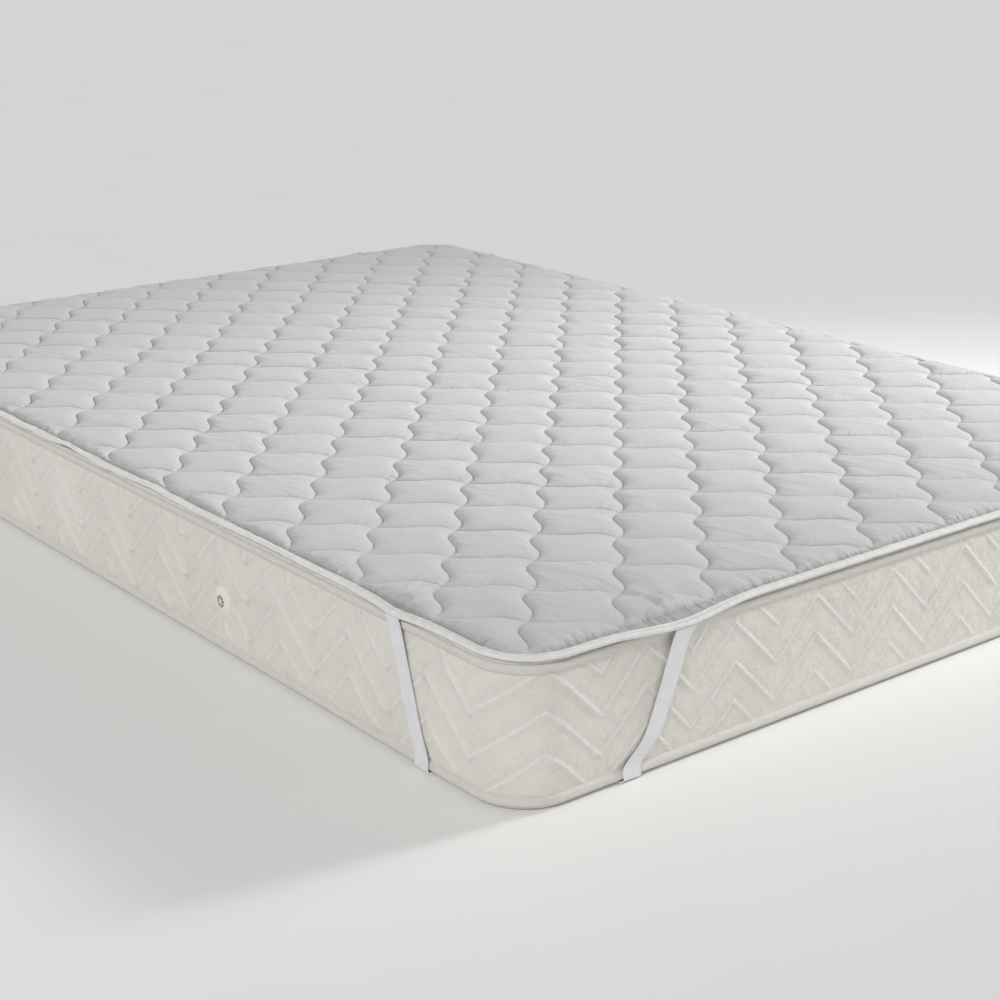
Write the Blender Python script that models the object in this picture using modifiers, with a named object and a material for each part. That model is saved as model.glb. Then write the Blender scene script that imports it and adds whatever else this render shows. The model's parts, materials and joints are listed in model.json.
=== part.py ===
"""Quilted mattress protector with an elastic band at each corner, fitted on its mattress.

Metres, +Z up. X runs across the bed, Y along it with the foot end at -Y, and the floor is at z = 0.
"""

import math

import bmesh
import bpy
import numpy as np
from mathutils import Vector

# Mattress
WIDTH = 1.400
LENGTH = 2.000
HEIGHT = 0.181
CORNER_RADIUS = 0.070
CORNER_STEPS = 6
CORNERS = {"left_foot": (-1, -1), "right_foot": (1, -1), "right_head": (1, 1), "left_head": (-1, 1)}
EDGE_ROUND = 0.005
EDGE_ROUND_STEPS = 3
TOUCH_GAP = 0.0003

# Edge tape of the mattress, on the wall just past the rounded edge
TAPE_BROAD = 0.0110
TAPE_THICK = 0.0040
TAPE_FLAT = 0.0030
TAPE_SHOULDER = 0.0024

# Air vent on the long side at -X
VENT_FROM_FOOT = 0.615
VENT_HEIGHT = 0.073
VENT_RADIUS = 0.019
VENT_THICK = 0.0030
VENT_HOLE_RADIUS = 0.008
VENT_HOLE_DEPTH = 0.0018
VENT_TAPER = 0.86
VENT_SIDES = 24

# Quilting: wavy lines that cross in a diamond lattice, which lies slightly askew on the bed
REPEAT_ACROSS = 0.1394
REPEAT_ALONG = 0.1495
COLUMN_LEAN = math.radians(-2.36)
ROW_LEAN = math.radians(-0.63)
FIRST_NODE = (0.0869, 0.0881)
RISING_WAVE = 0.0074
FALLING_WAVE = 0.0054
SEAM_MARKS = (0.0, 0.2, 0.8)

# Protector cloth
SEAM_THICK = 0.0030
PUFF_RISE = 0.0090
PUFF_FADE = 0.030
SHORT_EDGE = 0.010

# Edge of the protector: how far it hangs over the mattress wall, and where the bands pull it
END_OVERHANG = 0.006
SIDE_OVERHANG = 0.003
QUILTING_INSET = 0.0112
HINGE_INSET = 0.004
END_PULL_AT = 0.222
END_PULL_OUT = 0.009
END_PULL_DOWN = 0.0065
END_PULL_REACH = 0.075
SIDE_PULL_AT = 0.216
SIDE_PULL_OUT = 0.005
SIDE_PULL_DOWN = 0.0025
SIDE_PULL_REACH = 0.045

# Waves in the edge of the long side at -X: distance from the foot end, half length, outwards, upwards
EDGE_WAVES = (
    {"at": 0.48, "reach": 0.110, "out": 0.0010, "up": 0.0030},
    {"at": 0.80, "reach": 0.070, "out": -0.0020, "up": 0.0020},
    {"at": 0.98, "reach": 0.050, "out": 0.0020, "up": 0.0},
    {"at": 1.09, "reach": 0.060, "out": 0.0, "up": 0.0045},
    {"at": 1.22, "reach": 0.060, "out": 0.0020, "up": 0.0015},
)

# Binding folded round the edge
BINDING_THICK = 0.0008
BINDING_OVER = 0.0105
BINDING_UNDER = 0.0080
BINDING_PLAY = 0.0005
# The cloth lies on its binding's under fold, which lies on the mattress.
PANEL_BASE = HEIGHT + BINDING_PLAY + BINDING_THICK + TOUCH_GAP

# Elastic corner bands
BAND_WIDTH = 0.025
BAND_THICK = 0.0012
BAND_TAB = 0.0045
END_BAND_FOOT = 0.170
SIDE_BAND_FOOT = 0.166
BAND_OFF_TAPE = 0.0006
BAND_TURN = 0.0045
GROOVE_DEPTH = 0.0019
GROOVE_SPARE = 0.0020
GROOVE_PAST = 0.020

# Stations along the edges
STRAIGHT_FINE = 0.020
STRAIGHT_COARSE = 0.028
FINE_UNTIL = 0.350
# A point this near a line or this share of the way to its end counts as on it
ON_LINE = 1e-5
NEAR_END = 1e-3

SHEET_WHITE = (0.72, 0.73, 0.74)
BINDING_WHITE = (0.84, 0.84, 0.83)
BAND_WHITE = (0.70, 0.71, 0.75)
TICKING_IVORY = (0.62, 0.59, 0.53)
TAPE_IVORY = (0.58, 0.55, 0.48)
VENT_CREAM = (0.66, 0.60, 0.42)


def clear_scene():
    for old in list(bpy.data.objects):
        bpy.data.objects.remove(old, do_unlink=True)


def new_collection(name):
    collection = bpy.data.collections.new(name)
    bpy.context.scene.collection.children.link(collection)
    return collection


def principled(name, colour, roughness):
    material = bpy.data.materials.new(name)
    material.use_nodes = True
    shader = material.node_tree.nodes["Principled BSDF"]
    shader.inputs["Base Color"].default_value = (*colour, 1.0)
    shader.inputs["Roughness"].default_value = roughness
    shader.inputs["Metallic"].default_value = 0.0
    return material


def add_object(name, mesh_maker, collection, material=None):
    bm = bmesh.new()
    mesh_maker(bm)
    mesh = bpy.data.meshes.new(name)
    bmesh.ops.recalc_face_normals(bm, faces=bm.faces)
    bm.to_mesh(mesh)
    bm.free()
    item = bpy.data.objects.new(name, mesh)
    collection.objects.link(item)
    if material:
        mesh.materials.append(material)
        mesh.shade_smooth()
        mesh.set_sharp_from_angle(angle=math.radians(35))
    return item


def mapped_grid(bm, rows, columns, place):
    """A grid of rows by columns faces whose points are moved to place(row, column)."""
    made = bmesh.ops.create_grid(bm, x_segments=rows, y_segments=columns, size=0.5)
    for vert in made["verts"]:
        row = round((vert.co.x + 0.5) * rows)
        column = round((vert.co.y + 0.5) * columns)
        vert.co = place(row, column)


def swept_loop(bm, stations, profile_at):
    """A closed loop: the section profile_at(station) swept through all stations, welded at both seams."""
    sections = [profile_at(station) for station in stations]
    count = len(sections[0])
    mapped_grid(
        bm,
        len(stations),
        count,
        lambda row, column: sections[row % len(stations)][column % count],
    )
    bmesh.ops.remove_doubles(bm, verts=bm.verts, dist=1e-7)


def side_marks(length):
    """Distances along a side at which the edge has a station, finer near the corners."""
    fine = np.arange(CORNER_RADIUS, FINE_UNTIL, STRAIGHT_FINE)
    steps = math.ceil((length - 2 * FINE_UNTIL) / STRAIGHT_COARSE)
    coarse = np.linspace(FINE_UNTIL, length - FINE_UNTIL, steps + 1)
    return [*fine, *coarse, *(length - fine[::-1])]


def wall_stations(marks_of):
    """(place, outward normal) pairs round the mattress wall, counterclockwise from above."""
    stations = []
    for quarter in range(4):
        turn = quarter * math.pi / 2
        normal = Vector((math.sin(turn), -math.cos(turn), 0.0))
        along = Vector((math.cos(turn), math.sin(turn), 0.0))
        length, depth = (WIDTH, LENGTH) if quarter % 2 == 0 else (LENGTH, WIDTH)
        for mark in marks_of(length):
            stations.append((normal * (depth / 2) + along * (mark - length / 2), normal))
        centre = normal * (depth / 2 - CORNER_RADIUS) + along * (length / 2 - CORNER_RADIUS)
        for step in range(1, CORNER_STEPS):
            angle = step / CORNER_STEPS * math.pi / 2
            outward = normal * math.cos(angle) + along * math.sin(angle)
            stations.append((centre + outward * CORNER_RADIUS, outward))
    return stations


def bell(distance, reach):
    return math.exp(-((distance / reach) ** 2))


class EdgeFrame:
    """Where the protector's edge lies at one station, and the directions across and through the cloth."""

    def __init__(self, wall, normal):
        from_side, from_end = WIDTH / 2 - abs(wall.x), LENGTH / 2 - abs(wall.y)
        end_pull = normal.y**2 * bell(from_side - END_PULL_AT, END_PULL_REACH)
        side_pull = normal.x**2 * bell(from_end - SIDE_PULL_AT, SIDE_PULL_REACH)
        out = END_OVERHANG * normal.y**2 + SIDE_OVERHANG * normal.x**2
        out += END_PULL_OUT * end_pull + SIDE_PULL_OUT * side_pull
        down = END_PULL_DOWN * end_pull + SIDE_PULL_DOWN * side_pull
        if normal.x < -0.99:
            for wave in EDGE_WAVES:
                size = bell(wall.y + LENGTH / 2 - wave["at"], wave["reach"])
                out += wave["out"] * size
                down -= wave["up"] * size
        middle = PANEL_BASE + SEAM_THICK / 2
        hinge_in = max(HINGE_INSET, BINDING_OVER + TOUCH_GAP - out)
        self.clip = wall - normal * QUILTING_INSET + Vector((0, 0, middle))
        self.hinge = wall - normal * hinge_in + Vector((0, 0, middle))
        self.edge = wall + normal * out + Vector((0, 0, middle - down))
        self.across = (self.edge - self.hinge).normalized()
        self.through = Vector((0, 0, 1)) - self.across * self.across.z
        self.through.normalize()

    def at(self, across, through):
        return self.edge + self.across * across + self.through * through


def wave_shift(amount, phase, step):
    """The swing of a wavy seam at this phase, at right angles to its mean direction."""
    left = Vector((-step.y, step.x, 0.0)).normalized()
    return left * (-amount * math.sin(2 * math.pi * phase))


class Lattice:
    """The quilting's two families of wavy seams, at whole numbers of a and of b."""

    def __init__(self):
        half_across, half_along = REPEAT_ACROSS / 2, REPEAT_ALONG / 2
        column = Vector((half_along * math.tan(COLUMN_LEAN), half_along, 0.0))
        row = Vector((half_across, half_across * math.tan(ROW_LEAN), 0.0))
        self.rising = row + column
        self.falling = row - column
        self.start = Vector((FIRST_NODE[0] - WIDTH / 2, FIRST_NODE[1] - LENGTH / 2, 0.0))

    def place(self, a, b):
        straight = self.start + self.rising * a + self.falling * b
        wave_a = wave_shift(RISING_WAVE, a, self.rising)
        return straight + wave_a + wave_shift(FALLING_WAVE, b, self.falling)

    def cells_round(self, half_x, half_y):
        """The first cell and the number of cells each way that cover a rectangle about the origin."""
        to_cells = np.linalg.inv(
            [[self.rising.x, self.falling.x], [self.rising.y, self.falling.y]]
        )
        corners = [(x, y) for x in (-half_x, half_x) for y in (-half_y, half_y)]
        offsets = np.array(corners) - np.array(self.start[:2])
        cells = offsets @ to_cells.T
        first = np.floor(cells.min(axis=0)).astype(int) - 1
        return first, np.ceil(cells.max(axis=0)).astype(int) + 1 - first


def seam_value(first, index):
    """The lattice coordinate of a grid line: seams at whole numbers, with two lines between them."""
    return first + index // len(SEAM_MARKS) + SEAM_MARKS[index % len(SEAM_MARKS)]


def quilted_sheet(bm):
    """The open upper face of the quilting over more than the bed, with its puffs raised from z = 0."""
    lattice = Lattice()
    first, count = lattice.cells_round(WIDTH / 2, LENGTH / 2)
    lines = len(SEAM_MARKS)

    def place(row, column):
        point = lattice.place(seam_value(first[0], row), seam_value(first[1], column))
        on_seam = row % lines == 0 or column % lines == 0
        return point + Vector((0, 0, 0 if on_seam else PUFF_RISE))

    mapped_grid(bm, int(count[0]) * lines, int(count[1]) * lines, place)


def clip_to_polygon(bm, corners):
    """Cuts away what lies outside a convex polygon seen from above, given counterclockwise."""
    for start, end in zip(corners, corners[1:] + corners[:1]):
        outward = Vector((end.y - start.y, start.x - end.x, 0.0))
        if outward.length < ON_LINE:
            continue
        bmesh.ops.bisect_plane(
            bm,
            geom=bm.verts[:] + bm.edges[:] + bm.faces[:],
            dist=1e-6,
            plane_co=Vector((start.x, start.y, 0.0)),
            plane_no=outward.normalized(),
            clear_outer=True,
        )


class Rim:
    """Finds where a point of the cut line lies between two stations."""

    def __init__(self, frames):
        self.frames = frames
        self.starts = np.array([frame.clip[:2] for frame in frames])
        self.steps = np.roll(self.starts, -1, axis=0) - self.starts
        self.squares = (self.steps**2).sum(axis=1)

    def locate(self, point):
        """(station, share of the way to the next, distance from the cut line)."""
        offset = np.array(point[:2]) - self.starts
        share = ((offset * self.steps).sum(axis=1) / self.squares).clip(0, 1)
        distance = np.linalg.norm(offset - self.steps * share[:, None], axis=1)
        nearest = int(distance.argmin())
        return nearest, float(share[nearest]), float(distance[nearest])

    def between(self, point, place_of):
        station, share, _ = self.locate(point)
        after = self.frames[(station + 1) % len(self.frames)]
        return place_of(self.frames[station]).lerp(place_of(after), share)


def add_station_points(bm, rim):
    """Gives the cut line a point at every station."""
    for frame in rim.frames:
        target = frame.clip.xy
        for edge in (e for e in bm.edges if e.is_boundary):
            start, end = (vert.co.xy for vert in edge.verts)
            share = (target - start).dot(end - start) / (end - start).length_squared
            on_edge = (start.lerp(end, share) - target).length < ON_LINE
            if on_edge and NEAR_END < share < 1 - NEAR_END:
                bmesh.utils.edge_split(edge, edge.verts[0], share)
                break


def is_station(point, rim):
    _, share, _ = rim.locate(point)
    return min(share, 1 - share) < NEAR_END


def merge_short_rim_edges(bm, rim):
    """Moves each cut-line point that crowds its neighbour onto it, and keeps the stations' own points."""

    def crowded():
        for edge in bm.edges:
            if not edge.is_boundary or edge.calc_length() > SHORT_EDGE:
                continue
            kept, moved = sorted(edge.verts, key=lambda vert: not is_station(vert.co, rim))
            if not is_station(moved.co, rim):
                return kept, moved
        return None

    while pair := crowded():
        kept, moved = pair
        bmesh.ops.weld_verts(bm, targetmap={moved: kept})


def smooth_step(value):
    value = min(max(value, 0.0), 1.0)
    return value * value * (3 - 2 * value)


def quilted_panel(bm, frames):
    """The quilted cloth: puffs above, a flat underside, and a thin edge that hangs over the mattress."""
    rim = Rim(frames)
    quilted_sheet(bm)
    clip_to_polygon(bm, [frame.clip for frame in frames])
    add_station_points(bm, rim)
    merge_short_rim_edges(bm, rim)
    for vert in bm.verts:
        away = rim.locate(vert.co)[2]
        rise = 0.0 if vert.is_boundary else vert.co.z * smooth_step(away / PUFF_FADE)
        vert.co.z = PANEL_BASE + SEAM_THICK + rise
    half = Vector((0, 0, SEAM_THICK / 2))
    rings = (
        lambda frame: frame.hinge + half,
        lambda frame: frame.at(0, SEAM_THICK / 2),
        lambda frame: frame.at(0, -SEAM_THICK / 2),
        lambda frame: frame.hinge - half,
    )
    loop = [edge for edge in bm.edges if edge.is_boundary]
    origins = {vert: vert.co.copy() for edge in loop for vert in edge.verts}
    for place_of in rings:
        made = bmesh.ops.extrude_edge_only(bm, edges=loop)["geom"]
        loop = [part for part in made if isinstance(part, bmesh.types.BMEdge)]
        loop = [edge for edge in loop if edge.is_boundary]
        outer = {vert for edge in loop for vert in edge.verts}
        before = {vert: origins[other_end(vert, origins)] for vert in outer}
        for vert, origin in before.items():
            vert.co = rim.between(origin, place_of)
        origins = before
    bmesh.ops.contextual_create(bm, geom=loop)


def other_end(vert, known):
    """The point that this new one was extruded from."""
    for edge in vert.link_edges:
        if edge.other_vert(vert) in known:
            return edge.other_vert(vert)
    raise ValueError("a rim point has no partner")


def edge_binding(bm, frames):
    """A strip folded over the cloth's edge, wider above than beneath."""
    inner = SEAM_THICK / 2 + BINDING_PLAY
    outer = inner + BINDING_THICK
    fold = BINDING_PLAY + BINDING_THICK
    section = (
        (-BINDING_OVER, outer),
        (fold, outer),
        (fold, -outer),
        (-BINDING_UNDER, -outer),
        (-BINDING_UNDER, -inner),
        (BINDING_PLAY, -inner),
        (BINDING_PLAY, inner),
        (-BINDING_OVER, inner),
    )
    swept_loop(bm, frames, lambda frame: [frame.at(*point) for point in section])


def mattress_block(bm):
    bmesh.ops.create_cube(bm, size=1.0)
    for vert in bm.verts:
        vert.co = Vector((vert.co.x * WIDTH, vert.co.y * LENGTH, (vert.co.z + 0.5) * HEIGHT))
    upright = [e for e in bm.edges if abs(e.verts[0].co.z - e.verts[1].co.z) > HEIGHT / 2]
    bmesh.ops.bevel(
        bm,
        geom=upright,
        offset=CORNER_RADIUS,
        segments=CORNER_STEPS,
        affect="EDGES",
        profile=0.5,
        material=-1,
    )
    level = [e for e in bm.edges if abs(e.verts[0].co.z - e.verts[1].co.z) < HEIGHT / 2]
    bmesh.ops.bevel(
        bm,
        geom=level,
        offset=EDGE_ROUND,
        segments=EDGE_ROUND_STEPS,
        affect="EDGES",
        profile=0.5,
        material=-1,
    )


def mattress_tape(bm, upper):
    """A tape sewn round the mattress edge: its section stands on the wall, with a bulged outer side."""
    low, high = EDGE_ROUND, EDGE_ROUND + TAPE_BROAD
    middle = (low + high) / 2
    section = (
        (TOUCH_GAP, low),
        (TAPE_SHOULDER, low),
        (TAPE_THICK, middle - TAPE_FLAT),
        (TAPE_THICK, middle + TAPE_FLAT),
        (TAPE_SHOULDER, high),
        (TOUCH_GAP, high),
    )

    def section_at(station):
        wall, normal = station
        return [
            wall + normal * out + Vector((0, 0, HEIGHT - height if upper else height))
            for out, height in section
        ]

    ends = lambda length: (CORNER_RADIUS, length - CORNER_RADIUS)
    swept_loop(bm, wall_stations(ends), section_at)


def air_vent(bm):
    """A round flange on the wall with a shallow hole in its middle."""
    bmesh.ops.create_cone(
        bm,
        cap_ends=True,
        segments=VENT_SIDES,
        radius1=VENT_RADIUS,
        radius2=VENT_RADIUS * VENT_TAPER,
        depth=VENT_THICK,
    )
    front = next(f for f in bm.faces if f.normal.z > 0.9)
    rim = VENT_RADIUS * VENT_TAPER - VENT_HOLE_RADIUS
    bmesh.ops.inset_region(bm, faces=[front], thickness=rim)
    floor = bmesh.ops.extrude_discrete_faces(bm, faces=[front])["faces"]
    bmesh.ops.translate(bm, verts=floor[0].verts, vec=(0, 0, -VENT_HOLE_DEPTH))


def corner_band(bm, side_x, side_y):
    """One elastic band: from the cloth's edge down one side, under the corner and up the other side."""
    corner = Vector((side_x * WIDTH / 2, side_y * LENGTH / 2, 0.0))
    inward_x = Vector((-side_x, 0.0, 0.0))
    inward_y = Vector((0.0, -side_y, 0.0))
    end_leg = leg_rows(corner, inward_x, -inward_y, END_PULL_AT, END_BAND_FOOT)
    side_leg = leg_rows(corner, inward_y, -inward_x, SIDE_PULL_AT, SIDE_BAND_FOOT)
    rows = end_leg + side_leg[::-1]
    mapped_grid(bm, len(rows) - 1, 1, lambda row, column: rows[row][column])


def leg_rows(corner, along, outward, top_at, foot_at):
    """Pairs of points across the band, from its sewn end at the cloth's edge to under the mattress."""
    frame = EdgeFrame(corner + along * top_at, outward)
    depth = SEAM_THICK / 2 + BINDING_PLAY + BINDING_THICK + TOUCH_GAP + BAND_THICK / 2
    tab_in = frame.at(-BAND_TAB, -depth)
    tab_out = frame.at(-BAND_THICK, -depth)
    tab_in_out, tab_out_out = ((point - corner).dot(outward) for point in (tab_in, tab_out))
    past_tape = TAPE_THICK + BAND_OFF_TAPE + BAND_THICK / 2
    under = TOUCH_GAP + BAND_THICK / 2
    bend_drop = BAND_THICK * 1.5
    turned = BAND_TURN * (1 - math.sqrt(0.5))
    lean = math.atan2(top_at - foot_at, HEIGHT)
    on_wall = BAND_WIDTH / 2 / math.cos(lean)
    # Under the corner the band runs at about 45 degrees to both sides.
    beneath = BAND_WIDTH / 2 * math.sqrt(2)
    sections = (
        {"out": tab_in_out, "height": tab_in.z, "at": top_at, "half": on_wall},
        {"out": tab_out_out, "height": tab_out.z, "at": top_at, "half": on_wall},
        {"out": tab_out_out + turned / 3, "height": tab_out.z - bend_drop, "at": top_at, "half": on_wall},
        {"out": past_tape, "height": EDGE_ROUND + TAPE_BROAD + BAND_TURN, "at": foot_at, "half": on_wall},
        {"out": past_tape, "height": under + BAND_TURN, "at": foot_at, "half": on_wall},
        {"out": past_tape - turned, "height": under + turned, "at": foot_at, "half": on_wall},
        {"out": past_tape - BAND_TURN, "height": under, "at": foot_at, "half": beneath},
        {"out": -EDGE_ROUND, "height": under, "at": foot_at - EDGE_ROUND, "half": beneath},
    )
    rows = []
    for section in sections:
        centre = corner + outward * section["out"] + Vector((0, 0, section["height"]))
        near, far = section["at"] - section["half"], section["at"] + section["half"]
        rows.append((centre + along * near, centre + along * far))
    return rows


def groove_cutter(side_x, side_y, collection):
    """A shallow box under one corner, along the band's diagonal."""
    start = Vector((side_x * (WIDTH / 2 - END_BAND_FOOT), side_y * LENGTH / 2, 0.0))
    end = Vector((side_x * WIDTH / 2, side_y * (LENGTH / 2 - SIDE_BAND_FOOT), 0.0))
    run = end - start

    def box(bm):
        bmesh.ops.create_cube(bm, size=1.0)
        across = BAND_WIDTH + 2 * GROOVE_SPARE
        scale = Vector((run.length + 2 * GROOVE_PAST, across, 2 * GROOVE_DEPTH))
        for vert in bm.verts:
            vert.co = vert.co * scale

    cutter = add_object("band_groove_cutter", box, collection)
    cutter.location = (start + end) / 2
    cutter.rotation_euler.z = math.atan2(run.y, run.x)
    cutter.hide_render = True
    cutter.display_type = "WIRE"
    return cutter


def main():
    clear_scene()
    parts = new_collection("quilted_mattress_protector")
    cutters = new_collection("cutters")
    cutters.hide_render = True
    frames = [EdgeFrame(*station) for station in wall_stations(side_marks)]

    ticking = principled("mattress_ticking", TICKING_IVORY, 0.75)
    mattress = add_object("mattress", mattress_block, parts, ticking)
    for place in CORNERS.values():
        groove = mattress.modifiers.new("band_groove", "BOOLEAN")
        groove.object = groove_cutter(*place, cutters)
        groove.operation = "DIFFERENCE"
        groove.solver = "EXACT"

    tape = principled("mattress_tape", TAPE_IVORY, 0.8)
    add_object("mattress_tape_top", lambda bm: mattress_tape(bm, True), parts, tape)
    add_object("mattress_tape_bottom", lambda bm: mattress_tape(bm, False), parts, tape)

    vent = add_object("air_vent", air_vent, parts, principled("vent_plastic", VENT_CREAM, 0.4))
    vent_out = WIDTH / 2 + TOUCH_GAP + VENT_THICK / 2
    vent.location = (-vent_out, VENT_FROM_FOOT - LENGTH / 2, VENT_HEIGHT)
    vent.rotation_euler.y = -math.pi / 2

    cloth = principled("quilted_cloth", SHEET_WHITE, 0.8)
    add_object("quilted_panel", lambda bm: quilted_panel(bm, frames), parts, cloth)
    binding = principled("binding_cloth", BINDING_WHITE, 0.8)
    add_object("edge_binding", lambda bm: edge_binding(bm, frames), parts, binding)

    elastic = principled("band_elastic", BAND_WHITE, 0.7)
    for name, place in CORNERS.items():
        band = add_object(
            f"corner_band_{name}", lambda bm, at=place: corner_band(bm, *at), parts, elastic
        )
        thicken = band.modifiers.new("thickness", "SOLIDIFY")
        thicken.thickness = BAND_THICK
        thicken.offset = 0.0
        thicken.use_even_offset = True


main()
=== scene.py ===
# %% [markdown]
# # A quilted mattress protector, fitted on its mattress
# The real thing is a thin quilted pad that lies on a mattress. A strip of white binding is folded round
# its edge, and an elastic band runs across each corner and under the mattress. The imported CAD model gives
# the mattress's size. This lesson dresses it: each plain solid is replaced by a finer one in nearly the
# same place.

# %% Load the frame
import json
import math

import bmesh
import bpy
import numpy as np
from mathutils import Matrix, Vector, noise

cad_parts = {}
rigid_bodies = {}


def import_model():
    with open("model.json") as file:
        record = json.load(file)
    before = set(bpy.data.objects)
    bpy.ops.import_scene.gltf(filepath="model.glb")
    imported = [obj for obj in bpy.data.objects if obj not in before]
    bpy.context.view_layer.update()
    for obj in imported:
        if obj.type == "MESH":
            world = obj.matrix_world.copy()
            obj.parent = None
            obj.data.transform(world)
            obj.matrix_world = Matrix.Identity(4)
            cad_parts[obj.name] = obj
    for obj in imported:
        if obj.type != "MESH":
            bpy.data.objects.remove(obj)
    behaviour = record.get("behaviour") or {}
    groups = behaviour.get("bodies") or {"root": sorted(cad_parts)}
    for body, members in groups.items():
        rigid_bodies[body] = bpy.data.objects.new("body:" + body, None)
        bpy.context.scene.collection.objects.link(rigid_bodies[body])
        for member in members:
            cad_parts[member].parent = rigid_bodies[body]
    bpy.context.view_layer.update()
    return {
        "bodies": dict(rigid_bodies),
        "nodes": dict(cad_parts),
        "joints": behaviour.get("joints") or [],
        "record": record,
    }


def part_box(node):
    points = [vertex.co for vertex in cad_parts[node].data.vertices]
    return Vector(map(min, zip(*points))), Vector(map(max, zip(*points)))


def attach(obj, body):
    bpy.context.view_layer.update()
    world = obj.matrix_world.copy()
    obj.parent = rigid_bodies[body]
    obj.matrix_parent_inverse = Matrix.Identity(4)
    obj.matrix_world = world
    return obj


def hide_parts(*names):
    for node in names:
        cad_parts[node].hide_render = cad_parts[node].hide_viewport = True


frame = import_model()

# %% [markdown]
# ## The camera
# The view is from above the near corner, along both edges of the mattress. Place and direction come from
# the edges and the crossings of the quilting, with a long lens, so the mattress fills the frame and runs
# out of it on both sides.

# %% Camera
CAMERA_PLACE = Vector((-1.874, -2.443, 0.991))
VIEW_TURN = math.radians(38.63)
VIEW_DIP = math.radians(18.36)
LENS_MM = 68.1

camera_data = bpy.data.cameras.new("camera")
camera_data.lens = LENS_MM
camera_data.sensor_width = 36.0
camera = bpy.data.objects.new("camera", camera_data)
bpy.context.scene.collection.objects.link(camera)
look = Vector((math.sin(VIEW_TURN), math.cos(VIEW_TURN), -math.tan(VIEW_DIP))).normalized()
camera.location = CAMERA_PLACE
camera.rotation_mode = "QUATERNION"
camera.rotation_quaternion = look.to_track_quat("-Z", "Y")
bpy.context.scene.camera = camera
print("camera looks along", [round(part, 3) for part in look])

# %% [markdown]
# ## Light
# White cloth shows its puffs only if the light comes from one side. The key light stands at the right of
# the view, low enough to graze the quilting, and a soft spotlight makes that side brighter. A second lamp
# stands high at the left. It lights both walls and brings out their zigzags.

# %% Lamps
KEY_FROM = Vector((0.90, -0.10, 0.38))
KEY_STRENGTH = 0.70
KEY_SPREAD = math.radians(16)
FRONT_FROM = Vector((-0.66, -0.24, 0.64))
FRONT_STRENGTH = 0.90
FRONT_SPREAD = math.radians(12)
WINDOW_PLACE = Vector((4.4, -1.6, 2.2))
WINDOW_AIM = Vector((0.46, -0.30, 0.19))
WINDOW_CONE = math.radians(30)
WINDOW_SIZE = 0.5
WINDOW_WATTS = 860.0


def lamp(name, kind, place, toward_lamp, strength):
    """A lamp at a place that shines from the direction toward_lamp."""
    data = bpy.data.lights.new(name, kind)
    data.energy = strength
    item = bpy.data.objects.new(name, data)
    item.location = place
    item.rotation_mode = "QUATERNION"
    item.rotation_quaternion = toward_lamp.to_track_quat("Z", "Y")
    bpy.context.scene.collection.objects.link(item)
    return data


lamp("key_lamp", "SUN", KEY_FROM, KEY_FROM, KEY_STRENGTH).angle = KEY_SPREAD
lamp("front_lamp", "SUN", FRONT_FROM, FRONT_FROM, FRONT_STRENGTH).angle = FRONT_SPREAD
window = lamp("window_lamp", "SPOT", WINDOW_PLACE, WINDOW_PLACE - WINDOW_AIM, WINDOW_WATTS)
window.spot_size, window.spot_blend, window.shadow_soft_size = WINDOW_CONE, 1.0, WINDOW_SIZE
bpy.context.scene.view_settings.view_transform = "Standard"
print("lamps: key", KEY_STRENGTH, "and front", FRONT_STRENGTH, "W a square metre, window", WINDOW_WATTS, "W")

# %% [markdown]
# ## Maths for materials
# A material here is a short sum of patterns. One small class wraps a socket, so a pattern is written as
# plain maths and each operator adds a Math node. One method makes any other node from its kind, settings
# and inputs.


# %% Wires
class Wire:
    """An output socket of a shader node. Python's operators on it add Math nodes."""

    def __init__(self, tree, socket=None):
        self.tree, self.socket = tree, socket

    def node(self, kind, settings=(), inputs=(), out=0):
        made = self.tree.nodes.new("ShaderNode" + kind)
        for name, value in dict(settings).items():
            setattr(made, name, value)
        for key, value in dict(inputs).items():
            if isinstance(value, Wire):
                self.tree.links.new(value.socket, made.inputs[key])
            else:
                made.inputs[key].default_value = value
        return Wire(self.tree, made.outputs[out])

    def maths(self, operation, first, second=0.0):
        return self.node("Math", {"operation": operation}, {0: first, 1: second})

    def __add__(self, other):
        return self.maths("ADD", self, other)

    def __sub__(self, other):
        return self.maths("SUBTRACT", self, other)

    def __rsub__(self, other):
        return self.maths("SUBTRACT", other, self)

    def __mul__(self, other):
        return self.maths("MULTIPLY", self, other)

    def __truediv__(self, other):
        return self.maths("DIVIDE", self, other)

    __radd__, __rmul__ = __add__, __mul__

    def fall(self, reach):
        """1 where this value is 0, fading away from it over reach."""
        return self.maths("EXPONENT", self * (-1.0 / reach))

    def wave(self, length):
        """A sine of this value, from -1 to 1, that repeats every length."""
        return self.maths("SINE", self * (2 * math.pi / length))

    def above(self, limit):
        return self.maths("GREATER_THAN", self, limit)

    def to_whole(self):
        """Distance from the nearest whole number."""
        return self.maths("PINGPONG", self, 0.5)

    def parts(self):
        return [self.node("SeparateXYZ", (), {0: self}, out) for out in (0, 1, 2)]

    def vector(self, x, y, z=0.0):
        return self.node("CombineXYZ", (), {0: x, 1: y, 2: z})

    def grain(self, place, scale, detail=2.0, rough=0.5):
        """Noise from about -0.5 to 0.5 at a place."""
        inputs = {"Vector": place, "Scale": scale, "Detail": detail, "Roughness": rough}
        return self.node("TexNoise", (), inputs) - 0.5

    def blend(self, share, first, second):
        settings = {"data_type": "RGBA", "blend_type": "MIX", "clamp_factor": True}
        return self.node("Mix", settings, {0: share, 6: first, 7: second}, 2)


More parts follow.
